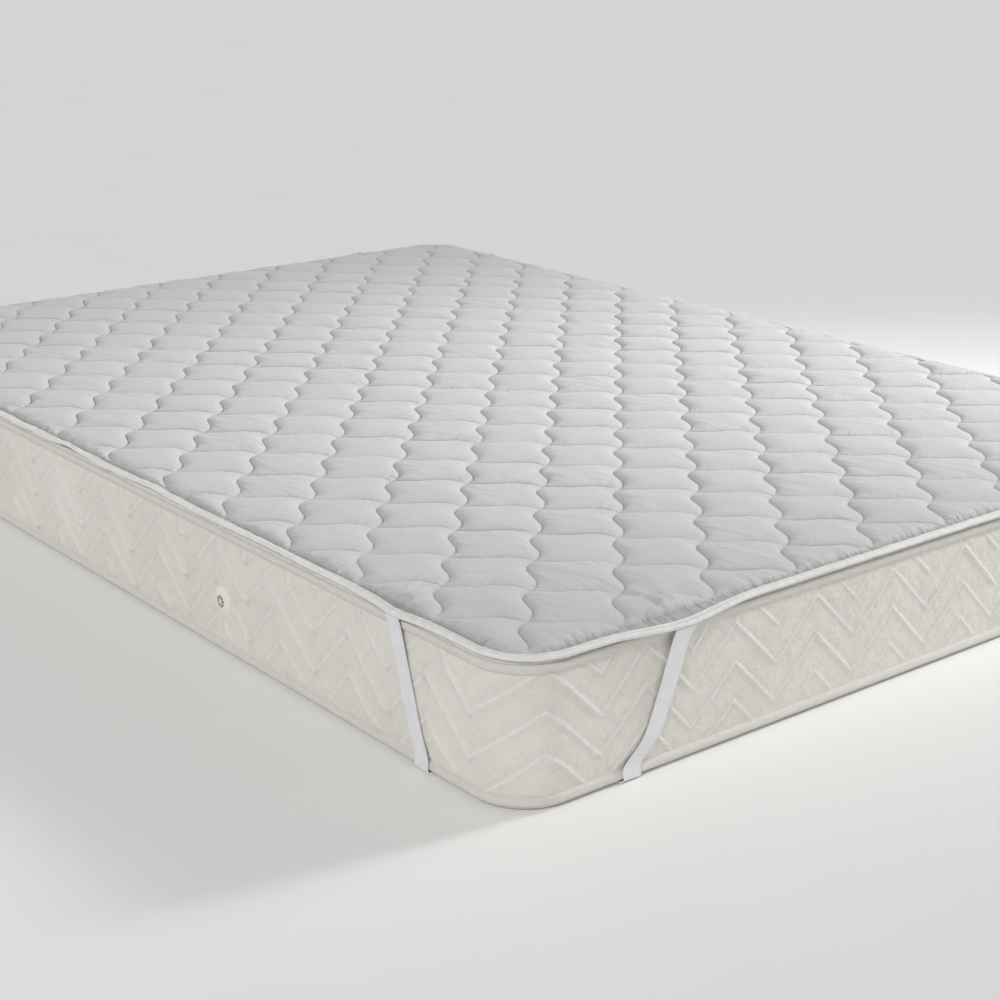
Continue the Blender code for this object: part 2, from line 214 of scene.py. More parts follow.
class Finish:
    """A Principled material that is being put together: its wires, then its colour, roughness and bump."""

    def __init__(self, name, **constants):
        self.material = bpy.data.materials.new(name)
        self.material.use_nodes = True
        self.wire = Wire(self.material.node_tree)
        self.shader = self.material.node_tree.nodes["Principled BSDF"]
        for socket, value in constants.items():
            self.shader.inputs[socket.replace("_", " ")].default_value = value
        self.object_place = self.wire.node("TexCoord", (), (), "Object")

    def on_map(self, name):
        """The two coordinates of the piece's own map."""
        return self.wire.node("UVMap", {"uv_map": name}).parts()[:2]

    def link(self, colour, roughness, height):
        """height is the relief in metres."""
        bump = self.wire.node("Bump", (), {"Height": height, "Distance": 1.0, "Strength": 1.0})
        for name, value in (("Base Color", colour), ("Roughness", roughness), ("Normal", bump)):
            if isinstance(value, Wire):
                self.wire.tree.links.new(value.socket, self.shader.inputs[name])
            else:
                self.shader.inputs[name].default_value = value
        print("material", self.material.name, "has", len(self.wire.tree.nodes), "nodes")
        return self.material


# %% [markdown]
# ## The room and the floor
# The room is a pale world, brighter at the horizon than overhead, so that the floor melts into it. A wide
# pale floor catches the soft contact shadow.

# %% Room
ROOM_LIGHT = (1.0, 0.995, 0.985, 1.0)
HORIZON_STRENGTH = 0.80
OVERHEAD_STRENGTH = 0.30

world = bpy.data.worlds.new("room")
world.use_nodes = True
background = world.node_tree.nodes["Background"]
background.inputs["Color"].default_value = ROOM_LIGHT
upward = Wire(world.node_tree).node("TexCoord", (), (), "Generated").parts()[2]
above_horizon = upward.maths("MAXIMUM", upward, 0.0)
room_strength = HORIZON_STRENGTH - above_horizon * (HORIZON_STRENGTH - OVERHEAD_STRENGTH)
world.node_tree.links.new(room_strength.socket, background.inputs["Strength"])
bpy.context.scene.world = world
print("room light runs from", HORIZON_STRENGTH, "at the horizon to", OVERHEAD_STRENGTH, "overhead")

# %% Floor
FLOOR_HALF = 60.0
FLOOR_SINK = 0.0005

floor_finish = Finish("pale_floor", Specular_IOR_Level=0.2)
mottle = floor_finish.wire.grain(floor_finish.object_place, 3.0)
pale = floor_finish.wire.blend(mottle + 0.5, (0.88, 0.88, 0.87, 1.0), (0.91, 0.91, 0.90, 1.0))
floor_mesh = bpy.data.meshes.new("floor")
bm = bmesh.new()
bmesh.ops.create_grid(bm, x_segments=1, y_segments=1, size=FLOOR_HALF)
bmesh.ops.translate(bm, verts=bm.verts, vec=(0, 0, -FLOOR_SINK))
bm.to_mesh(floor_mesh)
bm.free()
floor_mesh.materials.append(floor_finish.link(pale, 0.7, mottle * 0.0002))
floor = bpy.data.objects.new("floor", floor_mesh)
bpy.context.scene.collection.objects.link(floor)
print("floor is", 2 * FLOOR_HALF, "m wide")

# %% [markdown]
# ## Three helpers for every piece
# Most pieces here are long strips or sheets. A flat grid made by one operator is moved onto its place,
# row by row, and can carry a map for its weave. A loop is the same grid, welded at both seams. A last
# helper turns a bmesh into an object that rides with the mattress and stands for its CAD node.


# %% Grid, loop and piece
def mapped_grid(bm, rows, columns, place, layout=None, gap_every=0):
    """A grid of rows by columns faces, moved to place(row, column), with layout(row, column) as its map."""
    bmesh.ops.create_grid(bm, x_segments=rows, y_segments=columns, size=0.5)
    if gap_every:
        row_of = lambda face: math.floor((face.calc_center_median().x + 0.5) * rows)
        gaps = [face for face in bm.faces if row_of(face) % gap_every == gap_every - 1]
        bmesh.ops.delete(bm, geom=gaps, context="FACES")
    flat = np.array([vert.co for vert in bm.verts])
    row, column = np.rint((flat[:, :2] + 0.5) * (rows, columns)).astype(int).T
    if layout:
        bm.verts.index_update()
        layer = bm.loops.layers.uv.new("weave")
        spots = layout(row, column)
        for face in bm.faces:
            for corner in face.loops:
                corner[layer].uv = spots[corner.vert.index]
    for vert, spot in zip(bm.verts, place(row, column)):
        vert.co = spot


def swept_loop(bm, sections, runs, across):
    """Closed sections, one per station, joined in a ring. runs and across are the lengths for its map."""
    sections = np.array(sections)
    stations, count = sections.shape[:2]
    mapped_grid(
        bm,
        stations,
        count,
        lambda row, column: sections[row % stations, column % count],
        lambda row, column: np.stack([runs[row], across[column]], axis=1),
    )
    bmesh.ops.remove_doubles(bm, verts=bm.verts, dist=1e-6)


def new_piece(name, bm, finish, nodes, sharp=None):
    """Makes the object on the root body, smooth-shaded except past the angle sharp, with its finish, and
    hides its CAD nodes.
    """
    bmesh.ops.recalc_face_normals(bm, faces=bm.faces)
    mesh = bpy.data.meshes.new(name)
    bm.to_mesh(mesh)
    bm.free()
    mesh.shade_smooth()
    if sharp:
        mesh.set_sharp_from_angle(angle=math.radians(sharp))
    mesh.materials.append(finish)
    piece = bpy.data.objects.new(name, mesh)
    bpy.context.scene.collection.objects.link(piece)
    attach(piece, "root")
    if nodes:
        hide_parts(*nodes)
    mesh.calc_loop_triangles()
    print(name, "has", len(mesh.loop_triangles), "triangles")
    return piece


# %% [markdown]
# ## The wall of the mattress
# Binding, tapes and border all follow the mattress wall, a rectangle with rounded corners. Its size is
# the CAD mattress's own. A function gives the place and the outward direction at any distance along the
# wall, so every strip can choose how closely it is stationed.

# %% Wall
MATTRESS_LOW, MATTRESS_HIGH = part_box("mattress")
WIDTH = MATTRESS_HIGH[0] - MATTRESS_LOW[0]
LENGTH = MATTRESS_HIGH[1] - MATTRESS_LOW[1]
HEIGHT = MATTRESS_HIGH[2] - MATTRESS_LOW[2]
CORNER_RADIUS = 0.070
ARC = CORNER_RADIUS * math.pi / 2
STRAIGHTS = (WIDTH - 2 * CORNER_RADIUS, LENGTH - 2 * CORNER_RADIUS) * 2
PERIMETER = sum(STRAIGHTS) + 4 * ARC


def wall_at(run):
    """(place, outward direction) at a distance along the wall, counterclockwise from the foot side."""
    run %= PERIMETER
    for quarter, straight in enumerate(STRAIGHTS):
        turn = quarter * math.pi / 2
        outward = Vector((math.sin(turn), -math.cos(turn), 0.0))
        along = Vector((math.cos(turn), math.sin(turn), 0.0))
        depth = STRAIGHTS[quarter - 1] / 2 + CORNER_RADIUS
        if run <= straight:
            return outward * depth + along * (run - straight / 2), outward
        run -= straight
        if run <= ARC:
            centre = outward * (depth - CORNER_RADIUS) + along * (straight / 2)
            angle = run / CORNER_RADIUS
            outward = outward * math.cos(angle) + along * math.sin(angle)
            return centre + outward * CORNER_RADIUS, outward
        run -= ARC
    return wall_at(0.0)


def nearest_wall(point):
    """(place, outward direction) of the wall nearest to a point close to it."""
    half_x, half_y = STRAIGHTS[0] / 2, STRAIGHTS[1] / 2
    core = Vector((min(max(point.x, -half_x), half_x), min(max(point.y, -half_y), half_y), 0.0))
    outward = (Vector((point.x, point.y, 0.0)) - core).normalized()
    return core + outward * CORNER_RADIUS, outward


def inside_wall(places):
    """How far points lie inside the wall, as an array."""
    past = np.abs(places[:, :2]) - np.array([STRAIGHTS[0], STRAIGHTS[1]]) / 2
    corner = np.linalg.norm(np.maximum(past, 0.0), axis=1)
    return CORNER_RADIUS - corner - np.minimum(past.max(axis=1), 0.0)


print("wall is", round(PERIMETER, 3), "m round and", round(HEIGHT, 3), "m high")

# %% [markdown]
# ## Where the protector's edge lies
# The cloth's edge hangs a little over the mattress. The bands pull it out and down where they are sewn
# on, and along the left side it waves and lifts. Panel and binding both ask this one frame where the edge
# is, so they always fit each other.

# %% Edge frame
SEAM_THICK = 0.0030
PANEL_BASE = HEIGHT + 0.0016
QUILTING_INSET = 0.0090
HINGE_INSET = 0.004
BINDING_OVER = 0.0092
TOUCH_GAP = 0.0003
CRUMPLE, LEFT_CRUMPLE = 0.0008, 0.0012
END_EDGE = {"over": 0.006, "pull_at": 0.238, "out": 0.009, "down": 0.0065, "reach": 0.075}
SIDE_EDGE = {"over": 0.003, "pull_at": 0.216, "out": 0.005, "down": 0.0025, "reach": 0.045}
EDGE_WAVES = (
    {"at": 0.48, "reach": 0.110, "out": 0.0010, "up": 0.0030},
    {"at": 0.80, "reach": 0.070, "out": -0.0020, "up": 0.0020},
    {"at": 0.93, "reach": 0.050, "out": 0.0020, "up": 0.0},
    {"at": 0.975, "reach": 0.026, "out": -0.0040, "up": -0.0015},
    {"at": 1.035, "reach": 0.040, "out": 0.0030, "up": 0.0085},
    {"at": 1.22, "reach": 0.060, "out": 0.0020, "up": 0.0015},
)


def bell(distance, reach):
    return math.exp(-((distance / reach) ** 2))


class EdgeFrame:
    """Where the protector's edge lies at one point of the wall, and the directions across and through it."""

    def __init__(self, wall, outward):
        from_side, from_end = WIDTH / 2 - abs(wall.x), LENGTH / 2 - abs(wall.y)
        out, down = 0.0, 0.0
        sides = ((END_EDGE, outward.y**2, from_side), (SIDE_EDGE, outward.x**2, from_end))
        for edge, share, distance in sides:
            pull = bell(distance - edge["pull_at"], edge["reach"])
            out += share * (edge["over"] + edge["out"] * pull)
            down += share * edge["down"] * pull
        if outward.x < -0.99:
            for wave in EDGE_WAVES:
                size = bell(wall.y + LENGTH / 2 - wave["at"], wave["reach"])
                out += wave["out"] * size
                down -= wave["up"] * size
        crumple = CRUMPLE + LEFT_CRUMPLE * max(0.0, -outward.x) * min(max(wall.y + 0.8, 0.0), 1.0)
        out += crumple * noise.noise(wall * 22.0)
        down -= crumple * abs(noise.noise(wall * 27.0 + Vector((5, 0, 0))))
        middle = PANEL_BASE + SEAM_THICK / 2
        hinge_in = max(HINGE_INSET, BINDING_OVER + TOUCH_GAP - out)
        self.hinge = wall - outward * hinge_in + Vector((0, 0, middle))
        self.edge = wall + outward * out + Vector((0, 0, middle - down))
        self.across = (self.edge - self.hinge).normalized()
        self.through = Vector((0, 0, 1)) - self.across * self.across.z
        self.through.normalize()

    def at(self, across, through):
        return self.edge + self.across * across + self.through * through


sewn_at = Vector((END_EDGE["pull_at"] - WIDTH / 2, -LENGTH / 2, 0))
print("edge at the foot band:", EdgeFrame(sewn_at, Vector((0, -1, 0))).edge[:])

# %% [markdown]
# ## The quilting's lattice
# The cloth is sewn through along two families of wavy lines that cross in a diamond lattice, a
# traditional quilting. Whole numbers of a and of b are the sewn lines. Because both are smooth
# coordinates, the same two numbers shape the puffs, place the stitches and run the small wrinkles across
# the seams.

# %% Lattice
REPEAT_ACROSS = 0.1394
REPEAT_ALONG = 0.1495
COLUMN_LEAN = math.radians(-2.36)
ROW_LEAN = math.radians(-0.63)
LATTICE_START = np.array([0.0869 - WIDTH / 2, 0.0881 - LENGTH / 2])
RISING_WAVE = 0.0074
FALLING_WAVE = 0.0054
COLUMN = np.array([math.tan(COLUMN_LEAN), 1.0]) * REPEAT_ALONG / 2
ROW = np.array([1.0, math.tan(ROW_LEAN)]) * REPEAT_ACROSS / 2
RISING, FALLING = ROW + COLUMN, ROW - COLUMN
TO_LATTICE = np.linalg.inv(np.array([RISING, FALLING]))
SEAM_SPACING = abs(np.linalg.det(np.array([RISING, FALLING]))) / np.linalg.norm(RISING)


def wavy(points_ab):
    """Places on the mattress of lattice coordinates (a, b)."""
    straight = LATTICE_START + points_ab @ np.array([RISING, FALLING])
    for phase, step, amount in ((0, RISING, RISING_WAVE), (1, FALLING, FALLING_WAVE)):
        left = np.array([-step[1], step[0]]) / np.linalg.norm(step)
        straight = straight - amount * np.sin(2 * math.pi * points_ab[:, phase])[:, None] * left
    return straight


def lattice_of(places):
    """The lattice coordinates of places on the mattress, found by stepping towards each of them."""
    found = (places - LATTICE_START) @ TO_LATTICE
    for _ in range(16):
        found = found + (places - wavy(found)) @ TO_LATTICE
    return found


print("sewn lines lie", round(SEAM_SPACING * 1000, 1), "mm apart")

# %% [markdown]
# ## The shape of the puffs
# Filling pushes the cloth up between the seams. It rises steeply beside the thread and is nearly flat in
# the middle. Every puff differs a little in height, and folds fan out from each band into the cloth. The
# binding holds the edge down as another seam does, and the seams that run level in the view are shallower
# than the others.

# %% Puffs and folds
PUFF_RISE = 0.0078
PUFF_UNEVEN = 0.22
PUFF_FADE = 0.040
PUFF_AT_BINDING = 0.25
LEVEL_SEAM_DEEP = 0.58
TOP_WAVE = 0.0018
END_FOLDS = (
    {"toward": 6.0, "wide": 0.0022, "high": 0.0047, "long": 0.120},
    {"toward": 11.5, "wide": 0.0022, "high": 0.0037, "long": 0.105},
    {"toward": 31.0, "wide": 0.0060, "high": 0.0030, "long": 0.150},
    {"toward": 41.0, "wide": 0.0040, "high": 0.0018, "long": 0.110},
    {"toward": -42.0, "wide": 0.0040, "high": 0.0022, "long": 0.095},
    {"toward": -57.0, "wide": 0.0040, "high": 0.0018, "long": 0.080},
)
SIDE_FOLDS = (
    {"toward": 5.0, "wide": 0.0022, "high": 0.0046, "long": 0.110},
    {"toward": 11.0, "wide": 0.0022, "high": 0.0036, "long": 0.100},
    {"toward": 24.0, "wide": 0.0034, "high": 0.0030, "long": 0.110},
    {"toward": 41.0, "wide": 0.0034, "high": 0.0028, "long": 0.110},
    {"toward": 58.0, "wide": 0.0040, "high": 0.0016, "long": 0.080},
    {"toward": -32.0, "wide": 0.0050, "high": 0.0014, "long": 0.080},
)
FOLD_START = 0.008
FOLD_SPREAD = 0.022
FOLD_REACH = 0.125
FOLD_BEND = 0.10
FOLD_BEGIN = 0.012
FOLD_ENDING = 0.8
FOLD_LEAST, FOLD_OVER_SEAM = 0.02, 0.25
DOME_STEEP, DOME_ROUND = 3.4, 0.58
PUFF_TILT = 0.5
PUFF_LUMPS = 0.16
SLOW_NOISE, SMALL_NOISE = 2.2, 21.0
HASH_STEPS = np.array([12.9898, 78.233])
HASH_SCALE = 43758.5453


def pull_points():
    """Each place where a band is sewn on: the point, the ways inward and off its corner, its folds."""
    for side in (-1, 1):
        for end in (-1, 1):
            yield (
                np.array([side * (WIDTH / 2 - END_EDGE["pull_at"]), end * LENGTH / 2]),
                np.array([0.0, -end]),
                np.array([-side, 0.0]),
                END_FOLDS,
            )
            yield (
                np.array([side * WIDTH / 2, end * (LENGTH / 2 - SIDE_EDGE["pull_at"])]),
                np.array([-side, 0.0]),
                np.array([0.0, -end]),
                SIDE_FOLDS,
            )


def domed(share):
    """0 at a sewn line, rising steeply to 1 where share is 1."""
    return (1 - (1 - share) ** DOME_STEEP) ** DOME_ROUND


def puff(phase):
    """0 on a sewn line and 1 halfway to the next."""
    return domed(2 * np.abs(phase - np.rint(phase)))


def uneven(cells, salt):
    """A number from -0.5 to 0.5 for each cell, always the same."""
    return np.modf(np.abs(np.sin(cells @ HASH_STEPS + salt)) * HASH_SCALE)[0] - 0.5


def fold_rise(places):
    """The ridges that fan out into the cloth from the eight places where a band is sewn on."""
    rise = np.zeros(len(places))
    for pull, inward, away, folds in pull_points():
        offset = places - pull
        for fold in folds:
            turn = math.radians(fold["toward"])
            along = offset @ (inward * math.cos(turn) + away * math.sin(turn))
            aside = offset @ (away * math.cos(turn) - inward * math.sin(turn))
            bend = aside + FOLD_BEND * along * along / fold["long"]
            wide = fold["wide"] + FOLD_SPREAD * np.maximum(along, 0)
            begin = np.clip((along - FOLD_START) / FOLD_BEGIN, 0, 1)
            ending = np.clip(1 - along / fold["long"], 0, 1) ** FOLD_ENDING
            rise += fold["high"] * np.exp(-((bend / wide) ** 2)) * begin * ending
    return rise


def top_height(places):
    """Height of the cloth's upper face above its seams."""
    ab = lattice_of(places)
    cells = np.floor(ab)
    size = 1 + PUFF_UNEVEN * uneven(cells, 0.7)
    inner = ab - cells - 0.5
    slopes = np.stack([uneven(cells, 2.1), uneven(cells, 4.3)], axis=1)
    tilt = 1 + PUFF_TILT * (inner * slopes).sum(axis=1)
    body = (1 - LEVEL_SEAM_DEEP * (1 - puff(ab[:, 0]))) * puff(ab[:, 1])
    slow = np.array([noise.noise(Vector((x * SLOW_NOISE, y * SLOW_NOISE, 3.0))) for x, y in places])
    small = np.array([noise.noise(Vector((x * SMALL_NOISE, y * SMALL_NOISE, 9.0))) for x, y in places])
    lumps = 1 + PUFF_LUMPS * small
    edge = np.clip((inside_wall(places) - QUILTING_INSET) / PUFF_FADE, 0, 1)
    fade = PUFF_AT_BINDING + (1 - PUFF_AT_BINDING) * domed(edge)
    rise = PUFF_RISE * body * size * tilt * lumps + TOP_WAVE * slow * edge
    return (rise + fold_rise(places) * np.clip(body, FOLD_LEAST, 1) ** FOLD_OVER_SEAM) * fade


# %% [markdown]
# ## The quilted panel
# A grid follows the lattice, with its lines close together beside the seams, where the cloth is steep. It
# is cut to the mattress's outline with planes. The open edge is then extruded, ring by ring, over the
# mattress edge, round the hem and back under, and the underside is closed with one flat face.

# %% Quilted sheet
HALF_MARKS = (0.0, 0.012, 0.030, 0.062, 0.115, 0.200, 0.330)
SEAM_MARKS = np.array([*HALF_MARKS, 0.5, *(1 - np.array(HALF_MARKS[:0:-1]))])
CUT_STEPS = 14
SPARE = 0.02
FOLD_EDGES = (0.0085, 0.0043)
EDGE_REACH = 0.013


def cut_outline(bm):
    """Cuts away what lies outside the rounded rectangle where the puffs end."""
    inset = QUILTING_INSET
    for axis, half in ((Vector((1, 0, 0)), WIDTH / 2 - inset), (Vector((0, 1, 0)), LENGTH / 2 - inset)):
        for side in (-1, 1):
            cut_plane(bm, axis * side * half, axis * side, bm.faces)
    reach = CORNER_RADIUS + SPARE
    for side_x in (-1, 1):
        for side_y in (-1, 1):
            centre = Vector((side_x * STRAIGHTS[0] / 2, side_y * STRAIGHTS[1] / 2, 0.0))
            for step in range(CUT_STEPS):
                angle = (step + 0.5) / CUT_STEPS * math.pi / 2
                outward = Vector((side_x * math.cos(angle), side_y * math.sin(angle), 0.0))
                near = [
                    face
                    for face in bm.faces
                    if (face.verts[0].co - centre).xy.length < reach * 1.5
                ]
                cut_plane(bm, centre + outward * (CORNER_RADIUS - inset), outward, near)


def cut_plane(bm, place, outward, faces):
    faces = list(faces)
    edges = {edge for face in faces for edge in face.edges}
    verts = {vert for face in faces for vert in face.verts}
    bmesh.ops.bisect_plane(
        bm,
        geom=[*verts, *edges, *faces],
        dist=1e-6,
        plane_co=place,
        plane_no=outward,
        clear_outer=True,
    )


def refine_near_pulls(bm):
    """Halves the long edges near each band and along the outline, twice, so that folds are smooth."""
    pulls = np.array([pull for pull, *_ in pull_points()])
    for limit in FOLD_EDGES:
        edges = list(bm.edges)
        middles = np.array([(edge.verts[0].co + edge.verts[1].co) / 2 for edge in edges])[:, :2]
        off = np.linalg.norm(middles[:, None] - pulls, axis=2).min(axis=1)
        close = (off < FOLD_REACH) | (inside_wall(middles) - QUILTING_INSET < EDGE_REACH)
        long = [edge for edge, near in zip(edges, close) if near and edge.calc_length() > limit]
        bmesh.ops.subdivide_edges(bm, edges=long, cuts=1, use_grid_fill=True)
    print("after refining, the sheet has", len(bm.faces), "faces")


def quilted_sheet(bm):
    corners = np.array([(x, y) for x in (-WIDTH / 2, WIDTH / 2) for y in (-LENGTH / 2, LENGTH / 2)])
    reach = (corners - LATTICE_START) @ TO_LATTICE
    first = np.floor(reach.min(axis=0)) - 1
    cells = (np.ceil(reach.max(axis=0)) + 1 - first).astype(int)
    marks = len(SEAM_MARKS)

    def place(row, column):
        at = lambda step, start: start + step // marks + SEAM_MARKS[step % marks]
        spots = wavy(np.stack([at(row, first[0]), at(column, first[1])], axis=1))
        return np.column_stack([spots, np.zeros(len(spots))])

    mapped_grid(bm, int(cells[0]) * marks, int(cells[1]) * marks, place)
    far = [v for v in bm.verts if abs(v.co.x) > WIDTH / 2 + SPARE or abs(v.co.y) > LENGTH / 2 + SPARE]
    bmesh.ops.delete(bm, geom=far, context="VERTS")
    cut_outline(bm)
    refine_near_pulls(bm)
    flat = np.array([vert.co for vert in bm.verts])
    heights = top_height(flat[:, :2])
    for vert, height in zip(bm.verts, heights):
        vert.co.z = PANEL_BASE + SEAM_THICK + (0.0 if vert.is_boundary else height)
    print("the quilted sheet has", len(bm.verts), "points, up to", round(heights.max() * 1000, 1), "mm high")


# %% Hem of the panel
HALF = SEAM_THICK / 2
SEWN_IN = 0.0010
HEM = (
    lambda frame: frame.hinge + Vector((0, 0, HALF)),
    lambda frame: frame.at(-BINDING_OVER, HALF + 0.0002),
    lambda frame: frame.at(-BINDING_OVER / 2, HALF - SEWN_IN),
    lambda frame: frame.at(0, HALF - SEWN_IN / 2),
    lambda frame: frame.at(0, -HALF),
    lambda frame: frame.hinge - Vector((0, 0, HALF)),
)


def extrude_rings(bm, loop, places_of):
    """Extrudes an open edge loop ring by ring. Each function gives a new point from its starting point."""
    origins = {vert: vert.co.copy() for edge in loop for vert in edge.verts}
    for place_of in places_of:
        made = bmesh.ops.extrude_edge_only(bm, edges=loop)["geom"]
        loop = [part for part in made if isinstance(part, bmesh.types.BMEdge) and part.is_boundary]
        fresh = {}
        for vert in {vert for edge in loop for vert in edge.verts}:
            ends = [edge.other_vert(vert) for edge in vert.link_edges]
            fresh[vert] = next(origins[end] for end in ends if end in origins)
        for vert, origin in fresh.items():
            vert.co = place_of(origin)
        origins = fresh
    return loop


bm = bmesh.new()
quilted_sheet(bm)
edge_loop = [edge for edge in bm.edges if edge.is_boundary]
frames = {}


def frame_for(origin):
    key = (round(origin.x, 6), round(origin.y, 6))
    if key not in frames:
        frames[key] = EdgeFrame(*nearest_wall(origin))
    return frames[key]


rings = [lambda origin, at=at: at(frame_for(origin)) for at in HEM]
edge_loop = extrude_rings(bm, edge_loop, rings)
bmesh.ops.contextual_create(bm, geom=edge_loop)
print("the hem has", len(edge_loop), "points round")

# %% [markdown]
# ## The cloth's finish
# The cloth is a brushed white microfibre. Colour alone would look like plaster, so the relief carries it:
# small gathers run across each seam and die out towards the middle, a plain weave lies over all, and each
# seam has its row of short stitches. The colour also carries painted shade: it darkens along each seam and
# along the binding, where shadow falls.

# %% Cloth material
CLOTH_WHITE = (0.572, 0.569, 0.560, 1.0)
CLOTH_SHADE = (0.426, 0.423, 0.416, 1.0)
THREAD_WHITE = (0.80, 0.80, 0.795, 1.0)
STITCH = 0.0034
THREAD_HALF = 0.00045
YARN = 0.0009
DASH_HALF = 0.38
GATHERS_DEEP = (0.0026, 0.0036)
SEAM_PAINTED_SHADE = (0.28, 0.55)
GATHERS_FADE, PUCKERS_FADE = 0.018, 0.016
SEAM_SHADOW, BINDING_SHADOW = 0.0016, 0.0022
PUCKERS_DEEP = 0.0105
CREASES_DEEP = 0.0024
LONG_FOLDS_DEEP = 0.0038
WEAVE_DEEP = 0.00002
FUZZ_DEEP = 0.00007
STITCHES_DEEP = 0.00035

cloth = Finish("quilted_microfibre", Sheen_Weight=0.15, Sheen_Roughness=0.5, Specular_IOR_Level=0.25)
wire = cloth.wire
seam_a, seam_b = cloth.on_map("quilting")
x, y, _ = cloth.object_place.parts()
busy = wire.grain(cloth.object_place, 11.0, 1.0) * 4.5 + 0.6
busy = busy.maths("MAXIMUM", busy, 0.15)
relief = 0.0
# shade sums painted shade: darker along each seam and beside the binding
shade = 0.0
stitches = 0.0
both_ways = ((seam_a, seam_b), (seam_b, seam_a))
for (across, along), deep, dark in zip(both_ways, GATHERS_DEEP, SEAM_PAINTED_SHADE):
    off_seam = across.to_whole() * SEAM_SPACING
    gathers = wire.grain(wire.vector(across * 2.2, along * 15.0), 1.0, 3.0, 0.6)
    relief = relief + gathers * off_seam.fall(GATHERS_FADE) * busy * deep
    shade = shade + off_seam.fall(SEAM_SHADOW) * dark
    on_thread = 1.0 - off_seam.above(THREAD_HALF)
    dash = (along * (SEAM_SPACING / STITCH)).to_whole()
    stitches = stitches + on_thread * (1.0 - dash.above(DASH_HALF))
for from_middle, along, half in ((x, y, WIDTH / 2), (y, x, LENGTH / 2)):
    from_edge = half - from_middle.maths("ABSOLUTE", from_middle)
    off_binding = from_edge.maths("MAXIMUM", from_edge - QUILTING_INSET, 0.0)
    puckers = wire.grain(wire.vector(along * 70.0, from_edge * 18.0), 1.0, 2.0, 0.5)
    relief = relief + puckers * off_binding.fall(PUCKERS_FADE) * PUCKERS_DEEP
    shade = shade + off_binding.fall(BINDING_SHADOW)
creases = wire.grain(cloth.object_place, 26.0, 4.0, 0.55)
floors = [seam.maths("FLOOR", seam) for seam in (seam_a, seam_b)]
cell = wire.node("TexWhiteNoise", {"noise_dimensions": "2D"}, {"Vector": wire.vector(*floors)}, "Value")
slanted = seam_a * 3.6 + seam_b * (cell - 0.5) * 7.0
long_folds = wire.grain(wire.vector(seam_b * 1.6, slanted, cell * 9.0), 1.0, 3.0, 0.5) * cell
soft = wire.grain(cloth.object_place, 7.0, 2.0)
weave = x.wave(YARN) * y.wave(YARN)
fuzz = wire.grain(cloth.object_place, 900.0, 2.0)
relief = relief + creases * CREASES_DEEP + long_folds * LONG_FOLDS_DEEP
relief = relief + weave * WEAVE_DEEP + fuzz * FUZZ_DEEP + stitches * STITCHES_DEEP
tint = wire.blend(shade + soft * 0.25 - fuzz * 0.05, CLOTH_WHITE, CLOTH_SHADE)
tint = wire.blend(stitches, tint, THREAD_WHITE)
quilted_microfibre = cloth.link(tint, 0.82 + soft * 0.1, relief)

# %% Panel object
panel = new_piece("quilted_cloth_panel", bm, quilted_microfibre, ["quilted_panel"], 75)
points = np.empty(len(panel.data.vertices) * 3)
panel.data.vertices.foreach_get("co", points)
lattice_points = lattice_of(points.reshape(-1, 3)[:, :2])
corner_verts = np.empty(len(panel.data.loops), dtype=int)
panel.data.loops.foreach_get("vertex_index", corner_verts)
quilting_map = panel.data.uv_layers.new(name="quilting")
quilting_map.data.foreach_set("uv", lattice_points[corner_verts].ravel())
print("lattice runs from", lattice_points.min(axis=0).round(1), "to", lattice_points.max(axis=0).round(1))

# %% [markdown]
# ## The binding
# A strip of white tape is folded over the raw edge and sewn down with one line of stitches. It is
# modelled as one closed section carried round the mattress: a flat upper leg, a dip where the thread
# pulls it in, a plump roll at the fold, and a shorter leg beneath.

# %% Binding
BINDING_SECTION = (
    (-0.0092, 0.0017),
    (-0.0092, 0.0024),
    (-0.0086, 0.0029),
    (-0.0072, 0.0030),
    (-0.0060, 0.0025),
    (-0.0052, 0.0014),
    (-0.0043, 0.0013),
    (-0.0036, 0.0025),
    (-0.0022, 0.0033),
    (-0.0006, 0.0032),
    (0.0008, 0.0025),
    (0.0016, 0.0012),
    (0.0018, -0.0002),
    (0.0014, -0.0016),
    (0.0005, -0.0025),
    (-0.0008, -0.0028),
    (-0.0078, -0.0028),
    (-0.0080, -0.0021),
    (0.0005, -0.0018),
    (0.0005, 0.0012),
    (-0.0046, 0.0007),
)
OUTER_POINTS = 15
BINDING_STEP = 0.007
GATHER_STEP = 0.016
BINDING_SWELL = 0.0011


def stations_every(step):
    """Distances along the wall at about this step, ending where they start, and the edge frames there."""
    runs = np.linspace(0.0, PERIMETER, round(PERIMETER / step) + 1)
    return runs, [EdgeFrame(*wall_at(run)) for run in runs[:-1]]


def gathered(run, index):
    """How much fuller or slacker the binding is here, as the sewing took it in."""
    return noise.noise(Vector((run / GATHER_STEP, index * 0.35, 0.0)))


def binding_sections(runs, frames):
    for run, frame in zip(runs, frames):
        section = []
        for index, (across, through) in enumerate(BINDING_SECTION):
            loose = 1.0 if index < OUTER_POINTS else 0.0
            swell = gathered(run, index) * loose
            section.append(frame.at(across + swell * BINDING_SWELL, through + swell * BINDING_SWELL))
        yield section


bm = bmesh.new()
binding_runs, binding_frames = stations_every(BINDING_STEP)
section_steps = np.diff(np.array(BINDING_SECTION + BINDING_SECTION[:1]), axis=0)
section_across = np.concatenate([[0.0], np.linalg.norm(section_steps, axis=1).cumsum()])
swept_loop(bm, list(binding_sections(binding_runs, binding_frames)), binding_runs, section_across)
print("binding is carried through", len(binding_frames), "stations")

# %% [markdown]
# The strip is a plain-woven tape, whiter and crisper than the cloth. Its threads run along and across it,
# so its pattern reads the strip's own map, in metres.

